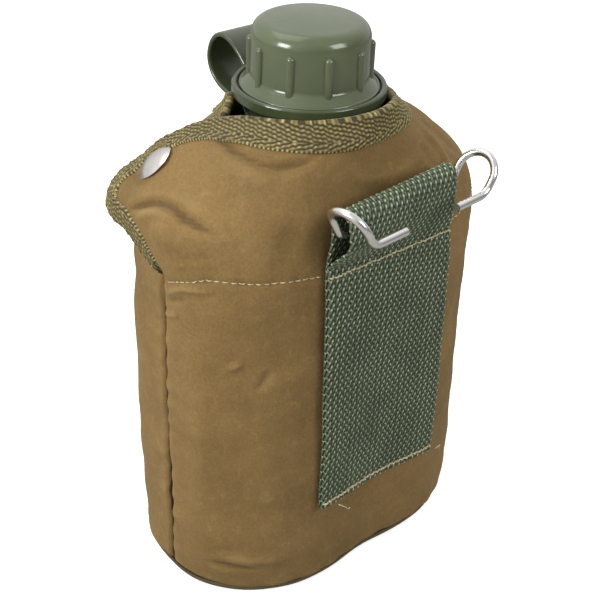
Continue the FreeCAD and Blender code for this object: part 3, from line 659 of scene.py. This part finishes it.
# Folds the cloth holds on the hip side: path, height (below 0 a valley), width.
HIP_FOLDS = (
    (((-70, 15, 150), (-68, 7, 156.5), (-65, -2, 160.5), (-64, -9, 161.5), (-63, -17, 159.5),
      (-58, -25, 157), (-50, -31, 158)), -2.6, 1.7),
    (((-70, 6, 152.5), (-66.5, -2, 157), (-65, -9, 158), (-63, -17, 155.5)), 1.6, 2.2),
    (((-67, -2, 165), (-62, -12, 166), (-58, -22, 163)), 0.8, 4.5),
    (((-70, -2, 152), (-68, -12, 153), (-62, -24, 150)), 0.8, 5),
    (((-45, 4, 180), (-43, -8, 177.8), (-40, -18, 175), (-35, -25, 173.6), (-26, -30, 175),
      (-18, -32, 178)), -2.2, 1.7),
    (((-48, -8, 173), (-44, -20, 170), (-36, -28, 169)), 0.9, 4),
    (((-67, -9, 130), (-66.5, -13, 133.5), (-65.5, -18, 136), (-60, -28, 137)), 1.5, 1.4),
    (((-67, -8, 126.5), (-66.5, -13, 129.5), (-65, -19, 132)), -1.2, 1.5),
    (((-58.6, -30, 106), (-54, -34, 109)), 1.3, 1.6),
    (((-51, -37, 96), (-46, -40.5, 108)), -1.2, 1.8),
    (((-67, -6, 120.5), (-66.2, -14.6, 124)), 1.2, 1.4),
    (((-68.2, -11, 142.5), (-65.5, -21, 146), (-60, -28, 147)), 0.6, 1.8),
    (((-64, -22, 15), (-58.4, -30.7, 15.5), (-47.7, -39.6, 14)), -1.5, 1.6),
    (((-62, -24, 20), (-52, -37, 19.5), (-36, -46, 17)), 1.2, 2.6),
    (((-61, -25, 14), (-57.4, -31.5, 40), (-54.6, -34, 85), (-56.7, -31.2, 124)), -2.4, 12),
    (((-64, -20, 26), (-63.5, -21, 66), (-63.5, -21, 122)), 1, 5),
    (((-47, -39, 24), (-46, -40, 70), (-47, -39, 118)), 0.5, 8),
    (((-28, -44, 120), (-30, -45, 80), (-31, -46, 48)), -0.5, 5),
    (((27, -27, 175), (33, -30, 167), (37, -33, 158), (40, -35, 150)), 1.7, 2.2),
    (((20, -33, 172), (26, -36, 165), (30, -38, 156)), -1.6, 1.8),
    (((33, -20, 176), (42, -24, 165), (50, -27, 152)), -1.2, 3.4),
    (((-14, -34, 170), (-2, -37, 165), (14, -37, 164), (24, -35, 168)), 1.3, 3.4),
    (((-46, -33, 136), (-40, -36, 150), (-36, -34, 162)), -1.2, 4),
    (((66, -14, 120), (63, -26, 96), (60, -30, 60)), -0.7, 6),
    (((64, -20, 140), (56, -32, 128)), 0.7, 3),
    (((60, -28, 18), (40, -44, 16)), -0.7, 2),
)

OUTER_FOLDS = (
    (((-62, 20, 20), (-62, 20, 80), (-64, 16, 132)), 1.6, 14),
    (((-50, 30, 120), (-20, 40, 112), (16, 41, 118)), -0.6, 5),
    (((58, 24, 30), (56, 26, 80), (58, 24, 120)), -0.8, 6),
    (((-66, 8, 118), (-62, 20, 128), (-52, 30, 132)), 0.8, 2.6),
    (((66, 8, 118), (62, 20, 128), (52, 30, 132)), 0.8, 2.6),
    (((-40, 34, 16), (0, 41, 18), (40, 34, 16)), 0.6, 3),
    (((-20, 37, 160), (0, 40, 150), (22, 37, 160)), -0.9, 4),
    (((-67, 2, 96), (-66, 14, 90)), 0.7, 2.6),
    (((-67, 0, 62), (-65, 18, 50)), -0.7, 3),
    (((67, 2, 88), (66, 14, 80)), 0.7, 2.6),
)

# Random waves of the cloth: height and length.
WAVES = ((0.5, 44.0), (0.22, 19.0), (0.06, 8.0))

# Each kind of sewn line: height and reach of the gathers beside it, then depth and width of its groove.
SIDE_SEAM = (0.42, 7.0, 2.2, 1.0)
HEM = (0.25, 5.0, 1.3, 1.1)
STITCHED = (0.16, 4.0, 0.45, 0.9)


def sewn(gap, gathers, kind):
    """Cloth at this distance from a sewn line: gathered beside it, and pulled into a groove on it."""
    height, reach, depth, width = kind
    return height * gathers * np.exp(-gap / reach) - depth * bell(gap / width)


def cloth_lift(points, folds, seed):
    """Height of the cloth's folds, puckers and seams over its plain form."""
    x, y, z = points[..., 0], points[..., 1], points[..., 2]
    lift = sum(height * wander(points, length, seed + k) for k, (height, length) in enumerate(WAVES))
    for path, height, width in folds:
        lift += height * fold_profile(*nearest(points, spline(path, 3.0)), width)
    depth, radius, width = SNAP_DENT
    for place in SNAPS:
        near = np.linalg.norm(points - np.array(place), axis=-1)
        lift *= 1.0 - np.exp(-(near / SNAP_CALM) ** 4)
        lift -= depth * bell((near - radius) / width)
    flank = (np.abs(x) > SEAM_OUT) & (z < SEAM_TOP + 3.0)
    puckers = wave(z, 8.3, 1.3 * np.sin(z / 11.0)) * np.sin(z / 19.0 + seed)
    lift += np.where(flank, sewn(np.abs(y - SEAM_Y), puckers, SIDE_SEAM), 0.0)
    return lift + sewn(np.abs(z - HEM_Z), wave(x, 11.0, y / 7.0), HEM)


def hip_lift(points):
    x, y, z = points[..., 0], points[..., 1], points[..., 2]
    lift = cloth_lift(points, HIP_FOLDS, 3)
    line = np.minimum(*(nearest(points * (side, 1.0, 1.0), STITCH_LINE)[0] for side in (1, -1)))
    gathers = wave(x, 7.4, 0.7 * np.sin(x / 5.0)) + 0.5 * wave(x, 4.1)
    lift += np.where(y < -8.0, sewn(line, gathers, STITCHED), 0.0)
    for middle, height, spread in EARS:
        lift += height * np.exp(-np.sum(((points - np.array(middle)) / np.array(spread)) ** 2, -1))
    fullness = smooth((y - 10.0) / 12.0) * smooth((z - 150.0) / 8.0) * smooth((176.0 - z) / 8.0)
    return lift + 1.4 * fullness


def outer_lift(points):
    return cloth_lift(points, OUTER_FOLDS, 21)


def lap(z):
    """How far the outer panel lies under the hip panel: flush below the slits, under its flaps above them."""
    collar = smooth((z - LAP_COLLAR_FROM) / (LAP_COLLAR_FULL - LAP_COLLAR_FROM))
    return LAP * smooth((z - LAP_FROM) / (LAP_FULL - LAP_FROM)) + LAP_COLLAR * collar


def sheet(angles, heights, grow, lift, lapped=False):
    """Grid of points over the cover's form, and how far lift has raised each of them."""
    angle, z = np.meshgrid(angles, heights)
    depth = grow - inset(angle, z)
    if lapped:
        depth = depth - lap(z)
    base = section(angle, z, depth)
    rise = lift(base)
    return base + grid_normals(base) * rise[..., None], rise


def blur(field, width):
    """A grid of values smoothed along both directions."""
    window = bell(np.arange(-2 * width, 2 * width + 1) / width)
    window = window / window.sum()
    for axis in (0, 1):
        wide = [(2 * width, 2 * width) if k == axis else (0, 0) for k in (0, 1)]
        field = np.apply_along_axis(np.convolve, axis, np.pad(field, wide, "edge"), window, "valid")
    return field


def fold_shade(rise):
    """Painted shade and highlight of the folds: 0 in the valleys, 0.5 on plain cloth and 1 on the ridges."""
    return np.clip(0.5 + 0.55 * (rise - blur(rise, 5)), 0.0, 1.0)


def sheet_data(points, start_column, rise):
    """Points, normals, running lengths and fold shade of a grid, packed for clip()."""
    across = np.linalg.norm(np.diff(points, axis=1), axis=-1)
    u = np.concatenate([np.zeros((len(points), 1)), np.cumsum(across, 1)], 1)
    u = u - u[:, start_column:start_column + 1]
    up = np.linalg.norm(np.diff(points, axis=0), axis=-1)
    v = np.concatenate([np.zeros((1, points.shape[1])), np.cumsum(up, 0)], 0)
    extra = np.stack([u, v, fold_shade(rise)], -1)
    return np.concatenate([points, grid_normals(points), extra], -1)


def panel(name, data, field, material, thickness):
    kept, faces = clip(data, field)
    thing = build(name, kept[:, :3], faces, material, uv=kept[:, 6:8], normals=kept[:, 3:6])
    # The fold values set the painted shade and painted highlight of the folds.
    paint(thing, "fold", kept[:, 8])
    return thicken(thing, thickness)


def edge_outline(side):
    edge = spline(FLAP_EDGES[side], 1.0)
    return [(-FAR, edge[0][1])] + [tuple(p) for p in edge] + [(SEAM_Y, HEM_Z), (-FAR, HEM_Z)]


def fold_between(thing):
    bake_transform(thing)


def make_hip_panel(material):
    """The hip panel's two halves with their flaps. Returns trees of its surface and of its plain form."""
    angles = even_angles(*HIP_SPAN)
    heights = np.arange(HEM_Z - 1.0, 191.0, GRID)
    points, rise = sheet(angles, heights, 0.0, hip_lift)
    plain, _ = sheet(angles, heights, 0.0, lambda base: np.zeros(base.shape[:-1]))
    middle = int(np.argmin(np.abs(angles - math.radians(270.0))))
    data = sheet_data(points, middle, rise)
    for side, name, node in ((-1, "cover_hip_left", "flap_left"), (1, "cover_hip_right", "flap_right")):
        inside = outline_distance(plain[..., 1], plain[..., 2], edge_outline(side))
        beyond = side * (angles - angles[middle]) * 60.0 + 1e-6       # about millimetres past the middle
        piece = panel(name, data, np.minimum(inside, beyond), material, CLOTH)
        fold_between(piece)
        assign(piece, (node, "cover_back_panel"), body=None)
    return surface_tree(points), surface_tree(plain)


def outer_top(x):
    """Height of the outer collar's edge: full beside the keeper strap, scooped out under it."""
    return SCOOP_FLOOR + sum(rise * smooth((np.abs(x) - start) / over) for start, over, rise in SCOOP_STEPS)


def make_outer_panel(material):
    angles = even_angles(*OUTER_SPAN)
    heights = np.arange(HEM_Z - 1.0, 190.0, GRID)
    points, rise = sheet(angles, heights, 0.0, outer_lift, lapped=True)
    edge = [tuple(p) for p in spline(OUTER_EDGE, 1.0)]
    outline = [(SEAM_Y, HEM_Z)] + edge + [(13.0, 200.0), (FAR, 200.0), (FAR, HEM_Z)]
    inside = outline_distance(points[..., 1], points[..., 2], outline)
    inside = np.minimum(inside, outer_top(points[..., 0]) - points[..., 2])
    piece = panel("cover_outer_panel", sheet_data(points, len(angles) // 2, rise), inside, material, CLOTH)
    assign(piece, ("cover_front_panel",))
    return surface_tree(points)


def make_bottom(material):
    """Bottom piece: the rounded edge below the hem and the flat rest face."""
    angles = np.radians(np.arange(360.0))
    top = HEM_Z + 0.6          # it reaches this high under the panels
    under = 0.35               # and lies this deep under them
    steps = 14                 # rings round the edge, and again over the rest face
    rows = []
    for t in np.linspace(0, 1, steps):
        z = np.full(len(angles), top * (1.0 - math.sin(0.5 * math.pi * t)))
        ring = section(angles, np.full(len(angles), 14.0), -inset(angles, z) - under)
        ring[:, 2] = z
        rows.append(ring)
    rows += [rows[-1] * (share, share, 1.0) for share in np.linspace(0.94, 0.0, steps)]
    points = np.array(rows)
    high = points[..., 2]
    points[..., 2] = np.maximum(high + 0.3 * wander(points, 24.0, 5) * smooth(high / 3.0), 0.0)
    faces = [face[::-1] for face in grid_faces(*points.shape[:2], wrap_columns=True)]
    piece = build("cover_bottom", points.reshape(-1, 3), faces, material, uv=points[..., :2].reshape(-1, 2))
    thicken(piece, CLOTH)
    assign(piece, ("cover_bottom_panel",))


def felt_lift(points):
    return 0.15 * wander(points, 12.0, 31) - 0.1


def make_lining(material):
    angles = even_angles(0.0, 360.0)
    heights = np.arange(9.0, LINING_TOP + 1.0, 2.0)
    points, rise = sheet(angles, heights, -LINING_DEEP, felt_lift, lapped=True)
    top = np.where(points[..., 1] > 0, np.minimum(LINING_TOP, outer_top(points[..., 0]) - 2.0), LINING_TOP)
    piece = panel("lining_felt", sheet_data(points, 0, rise), top - points[..., 2] + 0.01, material, LINING)
    assign(piece, ("lining_back", "lining_front"))


# --- Binding tape ---

TAPE_STEP = 0.32
TAPE_LIFT = 0.75          # the tape's ground stands this far over the cloth
TAPE_RELIEF = 0.5         # and its thread tops this much further
TAPE_SINK = 5.0           # an end that goes under another piece sinks over this length
OUTER_TAPE_WIDTH = 8.0


def herringbone(along, across, turn_at):
    """Relief of herringbone tape, 0 in the gaps to 1 on the thread tops."""
    slant = 0.34
    row_pitch = 1.4
    bead_pitch = 1.7
    side = np.where(across < turn_at, 1.0, -1.0) * (across - turn_at)
    thread = along * math.cos(slant) - side * math.sin(slant)
    row = (along * math.sin(slant) + side * math.cos(slant)) / row_pitch
    row = row + 0.16 * np.sin(along * 0.83 + 1.7 * np.sin(along * 0.31)) + 0.09 * np.sin(along * 2.9)
    rows = 0.5 + 0.5 * np.cos(2 * math.pi * row)
    beads = 0.5 + 0.5 * np.cos(2 * math.pi * (thread / bead_pitch + 0.5 * np.round(row)))
    uneven = 0.86 + 0.14 * np.sin(along * 1.9 + across * 2.3) * np.sin(along * 0.47 - across)
    return rows ** 0.7 * (0.45 + 0.55 * beads) * uneven


def lay_tape(spots, normals, inward, width, count, tree):
    """Points and normals of count columns laid over the surface from an edge, in rows of these widths."""
    laid = np.zeros((len(spots), count, 3))
    laid_normals = np.zeros((len(spots), count, 3))
    laid[:, 0] = spots
    laid_normals[:, 0] = normals
    for k in range(len(spots)):
        here = Vector(spots[k])
        heading = Vector(inward[k])
        for j in range(1, count):
            place, normal, _, _ = tree.find_nearest(here + heading * float(width[k] / (count - 1)))
            heading = (place - here).normalized() if (place - here).length > 1e-6 else heading
            here = place
            laid[k, j] = place
            laid_normals[k, j] = normal
    return laid, unit(laid_normals)


def make_tape(name, line, tree, width, material, sink_start=False, sink_end=True):
    """Tape folded over a bound edge: on the outer face, round the edge, and on the inner face."""
    turn_share = 0.68         # the weave turns at this share of the width
    spots, normals = settle(line, tree)
    inward = unit(np.cross(normals, directions(spots)))
    count = int(round(np.max(width) / TAPE_STEP)) + 1
    width = np.broadcast_to(np.asarray(width, float), (len(line),))
    laid, laid_normals = lay_tape(spots, normals, inward, width, count, tree)
    share = np.linspace(0, 1, count)
    run = np.arange(len(line)) * np.linalg.norm(line[1] - line[0])
    relief = herringbone(run[:, None], share[None] * width[:, None], turn_share * width[:, None])
    selvedge = bell((1 - share) * count * TAPE_STEP / 0.6)
    beads = 0.5 + 0.5 * wave(run[:, None], 1.3)
    relief = relief * (1 - selvedge) + beads * selvedge
    rise = (TAPE_LIFT + TAPE_RELIEF * relief) * (1 - 0.45 * selvedge)
    rise = rise + 0.25 * bell(share / 0.12)         # fuller round the edge
    fade = np.ones(len(line))
    for sinks, away in ((sink_end, run[-1] - run), (sink_start, run)):
        if sinks:
            fade = np.minimum(fade, smooth(away / TAPE_SINK) * 1.7 - 0.7)
    outside = laid + laid_normals * (rise * np.maximum(fade, -0.4)[:, None])[..., None]
    edge = laid[:, 0] - inward
    edge_out = edge + laid_normals[:, 0] * 0.35
    edge_in = edge - laid_normals[:, 0] * 1.1
    inner = np.arange(0, count, 3)
    inside = laid[:, inner] - laid_normals[:, inner] * (CLOTH + TAPE_LIFT)
    rings = np.concatenate([outside[:, ::-1], edge_out[:, None], edge_in[:, None], inside], 1)
    tops = np.concatenate([relief[:, ::-1], relief[:, :1], relief[:, :1], relief[:, inner]], 1)
    piece = build(name, rings.reshape(-1, 3), sweep_faces(*rings.shape[:2], flip=True), material)
    paint(piece, "relief", tops)
    return piece


def make_flap_tapes(tree, plain_tree, material):
    """Tapes of the flaps: wide along the collar, narrow round the flap and down its slit."""
    for side, name in ((-1, "left"), (1, "right")):
        edge = spline(FLAP_EDGES[side], 1.0)
        line = side_point(side, edge[:, 0], edge[:, 1])
        line[0, 0] = 0.0
        line, normals = settle(line, plain_tree)
        spots, _ = settle(line + normals * hip_lift(line)[:, None], tree)
        spots = even(spots, TAPE_STEP)
        run = np.linspace(0, 1, len(spots))
        if side > 0:
            spots = spots[::-1]
            run = run[::-1]
        flap = smooth((run - 0.22) / 0.3)
        slit_foot = smooth((run - 0.88) / 0.12)
        width = 9.8 - 2.8 * flap - 2.6 * slit_foot
        piece = make_tape("tape_" + name, spots, tree, width, material, side > 0, side < 0)
        fold_between(piece)
        nodes = ("binding_hip_collar", "binding_flap_" + name, "binding_slit_" + name)
        assign(piece, nodes, body=None)


def make_outer_tape(tree, material):
    """Tape along the outer panel's edge: up one slit, round the collar and down the other slit."""
    slit = spline(OUTER_EDGE, 1.0)
    left, right = (side_point(side, slit[:, 0], slit[:, 1], -lap(slit[:, 1])) for side in (-1, 1))
    angle = np.radians(np.linspace(151.0, 29.0, 260))
    z = np.full(len(angle), 180.0)
    for _ in range(12):                   # the collar's height and its place depend on each other
        z = 0.6 * z + 0.4 * outer_top(section(angle, z, -lap(z))[..., 0])
    collar = section(angle, z, -lap(z))
    line = even(np.vstack([left, collar, right[::-1]]), 1.5)
    for _ in range(3):
        line[1:-1] = 0.5 * line[1:-1] + 0.25 * (line[2:] + line[:-2])
    spots, _ = settle(line, tree)
    spots = even(spots, TAPE_STEP)
    piece = make_tape("tape_outer", spots, tree, OUTER_TAPE_WIDTH, material, sink_start=True)
    assign(piece, ("binding_outer_edge",))


# --- Webbing hanger ---

def hip_reach(z):
    """How far the hip side stands out at height z under the webbing."""
    angle = np.radians(np.linspace(181.0, 359.0, 240))
    ring = section(angle, np.full(len(angle), z), 0.0)
    near = np.abs(ring[:, 0]) <= WEB_HALF
    return float(-ring[near, 1].min())


def web_path(side):
    """Middle line (y, z) of the folded webbing at its left or right edge, front layer first."""
    half = TUNNEL_LEFT if side < 0 else TUNNEL_RIGHT
    middle = TUNNEL_MIDDLE + side * WEB_HALF * math.tan(math.radians(TUNNEL_YAW))
    layer = WEB_THICK / 2
    heights = (WEB_BOTTOM, 66.0, 92.0, 118.0, 130.0, WEB_STITCH)
    flat = [(-hip_reach(z) - WEB_OFF, z) for z in heights]
    front = [(y - 3 * layer, z) for y, z in flat]
    back = [(y - layer, z) for y, z in flat]
    radius = half + layer
    crown = WEB_TOP - half - WEB_THICK
    above, below = (min(middle + radius, -hip_reach(z) - WEB_OFF - layer) for z in (crown, 150.0))
    loop = [(front[-1][0], 144.0), (middle - radius, 153.0), (middle - radius, crown)]
    for turn in np.radians((150.0, 120.0, 90.0, 60.0, 30.0)):
        loop.append((middle + radius * math.cos(turn), crown + radius * math.sin(turn)))
    return front + loop + [(above, crown), (below, 149.5)] + back[::-1]


def web_relief(u, v):
    """Relief of coarse webbing: columns of slanted thread floats, each half a step past its neighbour."""
    column_width = 1.35
    float_length = 3.5
    lean = -0.26
    knot_at = 0.22            # each float has a knot this share of its length past its middle
    knot_width = 0.14
    shifted = u + lean * (np.mod(v, float_length) - float_length / 2)
    column = np.round(shifted / column_width)
    across = (shifted - column * column_width) / column_width
    along = v / float_length + 0.5 * np.mod(column, 2) + 0.06 * column
    phase = along - np.round(along)
    body = np.cos(math.pi * across) ** 0.8
    length = np.clip(1.0 - (2.0 * np.abs(phase)) ** 3, 0, 1)
    knot = bell((phase - knot_at) / knot_width)
    return np.clip(body, 0, 1) * (0.15 + 0.85 * length) * (0.72 + 0.38 * knot)


def make_webbing(material):
    """The webbing, folded over the hook and sewn to itself. Returns a tree of its front."""
    step = 0.28
    left, right = (spline(web_path(side), step) for side in (-1, 1))
    count = len(left)
    steps = np.linspace(0, len(right) - 1, count)
    right = np.stack([np.interp(steps, np.arange(len(right)), right[:, k]) for k in (0, 1)], 1)
    run = running(left)[:, None]
    x = np.arange(-WEB_HALF, WEB_HALF + step / 2, step)
    share = ((x + WEB_HALF) / (2 * WEB_HALF))[None, :, None]
    centre = np.zeros((count, len(x), 3))
    centre[..., 0] = x
    centre[..., 1:] = left[:, None] * (1 - share) + right[:, None] * share
    z = centre[..., 2]
    sag = 2.0 * bell(x / 18.0) * (1 - smooth((z - 50.0) / 80.0))      # into the cover's hollow
    centre[..., 1] += sag
    sway = 0.25 * wander(centre * (0.0, 0.0, 1.0), 38.0, 8)
    centre[..., 0] = centre[..., 0] * (1.0 - TUNNEL_NARROW * smooth((z - TUNNEL_FROM) / TUNNEL_OVER)) + sway
    out = grid_normals(centre)
    edge = 1 - 0.45 * bell((WEB_HALF - np.abs(x)) / 0.8)           # the selvedges are thinner
    sunk = sum(bell(z - line) for line in (WEB_STITCH, WEB_HEM))
    relief = web_relief(x + 0.0 * run, run + 0.0 * x)
    other = web_relief(x + 0.5, 0.0 * x - run)
    half = WEB_THICK / 2 * edge
    front = centre + out * (half - 0.3 * np.clip(sunk, 0, 1) + 0.5 * (relief - 0.45))[..., None]
    rear = centre - out * (half + 0.2 * (other - 0.45))[..., None]
    columns = len(x)
    points = np.concatenate([front, rear[:, ::-1]], 1)
    faces = grid_faces(count, 2 * columns, wrap_columns=True)
    last = (count - 1) * 2 * columns
    for j in range(columns - 1):
        faces.append((j + 1, j, 2 * columns - 1 - j, 2 * columns - 2 - j))
        faces.append((last + j, last + j + 1, last + 2 * columns - 2 - j, last + 2 * columns - 1 - j))
    piece = build("webbing", points.reshape(-1, 3), faces, material)
    paint(piece, "relief", np.concatenate([relief, other[:, ::-1]], 1))
    assign(piece, ("webbing_hanger",))
    return surface_tree(front)


# --- Threads ---

LOOSE_ENDS = (
    ((-23, -52.8, 42.6), (-20.5, -53.6, 40.6), (-18.4, -53.2, 38.2), (-16.8, -52.4, 37.4)),
    ((28, -52.6, 43.4), (30, -52.9, 44.2), (31.6, -51.8, 42.6), (32.4, -50.6, 39.8)),
)


def make_threads(cover, web, material):
    """Stitches of the hip side's long line and of the webbing's two lines, and the webbing's loose ends."""
    parts = []
    for side in (-1, 1):
        line, normals = settle(spline(STITCH_LINE, 1.0) * (-side, 1.0, 1.0), cover)
        parts.append(stitches(line, normals, pitch=2.8, share=0.74, radius=0.21, lift=0.26))
    x = np.linspace(-WEB_HALF + 0.3, WEB_HALF - 0.3, 120)
    for z, radius in ((WEB_STITCH, 0.3), (WEB_HEM, 0.42)):
        line, normals = cast_back(np.stack([x, x * 0.0 - 70.0, z + 0.12 * np.sin(x * 1.1)], 1), web)
        parts.append(stitches(line, normals, pitch=3.4, share=1.08, radius=radius, lift=0.5))
    parts += [tube(spline(path, 0.6), 0.2) for path in LOOSE_ENDS]
    assign(build("stitching", *join(parts), material))


# --- Keeper strap ---

def make_strap(material):
    spine = spline(STRAP_SPINE, 0.6)
    ahead = directions(spine)
    across = np.stack([-ahead[:, 1], ahead[:, 0]], 1)
    thin = STRAP_THICK / 2
    flat = STRAP_WIDTH / 2 - thin           # half the width between the rounded edges
    turns = np.radians(np.arange(-90, 91, 22.5))
    edge = [(flat + thin * math.cos(turn), thin * math.sin(turn)) for turn in turns]
    fill = np.linspace(flat, -flat, 14)[1:-1]
    half = edge + [(x, thin) for x in fill]
    ring = np.array(half + [(-x, -y) for x, y in half])
    points = np.zeros((len(spine), len(ring), 3))
    points[..., 0] = ring[:, 0]
    points[..., 1:] = spine[:, None] + ring[None, :, 1:] * across[:, None]
    piece = build("keeper_strap", points.reshape(-1, 3), sweep_faces(*points.shape[:2], flip=True), material)
    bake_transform(piece)
    assign(piece, ("keeper_loop",), body=None)


# --- CAD pieces that stay ---

def dress(nodes, names, material):
    for name in names:
        mesh = nodes[name].data
        mesh.materials.clear()
        mesh.materials.append(material)
        for polygon in mesh.polygons:
            polygon.material_index = 0


# --- Stage ---

def make_camera():
    azimuth, elevation, roll = (math.radians(turn) for turn in (-41.2, 32.59, 2.35))
    distance = 444.5
    target = Vector((-0.19, 0.0, 97.1))
    back = Vector((math.sin(azimuth) * math.cos(elevation), -math.cos(azimuth) * math.cos(elevation),
                   math.sin(elevation)))
    right = (-back).cross(Vector((0, 0, 1))).normalized()
    up = back.cross(right)
    axes = (right * math.cos(roll) + up * math.sin(roll), up * math.cos(roll) - right * math.sin(roll), back)
    camera = bpy.data.objects.new("camera", bpy.data.cameras.new("camera"))
    place = Matrix.Translation((target + back * distance) * MM)
    camera.matrix_world = place @ Matrix(axes).transposed().to_4x4()
    camera.data.sensor_width = 36.0
    camera.data.lens = 69.0
    camera.data.clip_start = 0.01
    bpy.context.scene.collection.objects.link(camera)
    bpy.context.scene.camera = camera


def softbox(name, place, aim, size_x, size_y, power):
    light = bpy.data.lights.new(name, "AREA")
    light.shape = "RECTANGLE"
    light.size = size_x
    light.size_y = size_y
    light.energy = power
    lamp = bpy.data.objects.new(name, light)
    lamp.location = place
    lamp.rotation_mode = "QUATERNION"
    lamp.rotation_quaternion = (Vector(aim) - Vector(place)).to_track_quat("-Z", "Y")
    bpy.context.scene.collection.objects.link(lamp)


def make_world():
    """White to the camera. What lights the object is brighter above, at the left and behind."""
    world = bpy.data.worlds.new("studio")
    world.use_nodes = True
    nodes = Nodes(world.node_tree)
    direction = nodes.add("TexCoord", {})["Generated"]
    glow = nodes.ramp(nodes.add("SeparateXYZ", {0: direction})[2], 0.1, 0.9, 0.5)
    glow = nodes.calc("ADD", 0.2, glow)
    behind = ((0.66, 0.75, 0.0), 0.0, 0.8, 0.55)        # direction, eased from and to, and strength
    left = ((-0.9, 0.3, 0.1), 0.2, 0.9, 0.62)
    for toward, low, high, amount in (behind, left):
        share = nodes.add("VectorMath", {0: direction, 1: toward}, operation="DOT_PRODUCT")["Value"]
        glow = nodes.calc("ADD", glow, nodes.ramp(share, low, high, amount))
    colour = nodes.mix(nodes.seen(), glow, (1, 1, 1, 1))
    nodes.feed(nodes.tree.nodes["Background"], {"Color": colour, "Strength": 1.0})
    bpy.context.scene.world = world


def make_stage():
    bpy.context.scene.view_settings.view_transform = "Standard"
    make_world()
    make_camera()
    softbox("key_left", (-0.88, 0.06, 0.54), (0, 0, 0.12), 0.34, 0.34, 7.0)
    softbox("fill_right", (0.22, -0.80, 0.66), (0, 0, 0.06), 0.42, 0.42, 4.3)
    softbox("top", (-0.15, 0.30, 0.95), (0, 0, 0.1), 0.6, 0.5, 1.6)
    corners = [(3000 * x, 3000 * y, 0) for x, y in ((-1, -1), (1, -1), (1, 1), (-1, 1))]
    build("studio_floor", corners, [(0, 1, 2, 3)], floor_material())


# --- Assembly ---

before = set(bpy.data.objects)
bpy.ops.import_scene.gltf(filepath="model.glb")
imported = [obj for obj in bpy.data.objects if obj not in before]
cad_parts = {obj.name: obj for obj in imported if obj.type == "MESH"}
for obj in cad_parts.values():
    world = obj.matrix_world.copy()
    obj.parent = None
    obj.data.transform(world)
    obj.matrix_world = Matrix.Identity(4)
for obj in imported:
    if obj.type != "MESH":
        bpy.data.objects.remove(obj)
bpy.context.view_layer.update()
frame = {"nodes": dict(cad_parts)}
nodes = frame["nodes"]

# Each cloth's fourth colour is its dust and the painted highlight on fold ridges, the fifth the painted shade
# in fold valleys.
cloth = cloth_material("cloth", rgb(110, 87, 49), rgb(128, 102, 60), rgb(148, 124, 80), rgb(74, 56, 30))
bottom_cloth = cloth_material("cloth_bottom", rgb(92, 80, 50), rgb(110, 96, 62), rgb(132, 118, 80),
                              rgb(62, 52, 32))
# Of tape and webbing, the first colour is a darker tone and the painted shade in the gaps, the third the
# painted highlight on the thread tops.
tape = woven_material("tape", rgb(50, 42, 18), rgb(132, 118, 68), rgb(204, 190, 134), rgb(220, 210, 170))
webbing = woven_material("webbing", rgb(20, 28, 17), rgb(88, 100, 74), rgb(196, 206, 172), rgb(170, 190, 160))
felt = felt_material()
cap_plastic = plastic_material("cap_plastic", rgb(78, 86, 61), rgb(86, 94, 68), 0.14)
strap_plastic = plastic_material("keeper_plastic", rgb(58, 66, 44), rgb(68, 76, 51), 0.16)
bottle_plastic = plastic_material("bottle_plastic", rgb(70, 78, 56), rgb(80, 88, 64), 0.36)
steel = metal_material("wire_steel", rgb(226, 224, 220), 0.16, 6.0)
snap_metal = metal_material("snap_metal", rgb(208, 202, 198), 0.2, 1.0)
rubber = rubber_material()
thread = thread_material()

dress(nodes, ("cap_shell",), cap_plastic)
dress(nodes, ("keeper_ring", "keeper_collar"), strap_plastic)
dress(nodes, ("bottle_body",), bottle_plastic)
dress(nodes, ("cap_gasket",), rubber)
dress(nodes, ("wire_hook",), steel)
dress(nodes, [name for name in nodes if name.startswith("snap_")], snap_metal)

cover, plain_cover = make_hip_panel(cloth)
outer_surface = make_outer_panel(cloth)
make_bottom(bottom_cloth)
make_lining(felt)
make_flap_tapes(cover, plain_cover, tape)
make_outer_tape(outer_surface, tape)
web_surface = make_webbing(webbing)
make_threads(cover, web_surface, thread)
make_strap(strap_plastic)
make_stage()
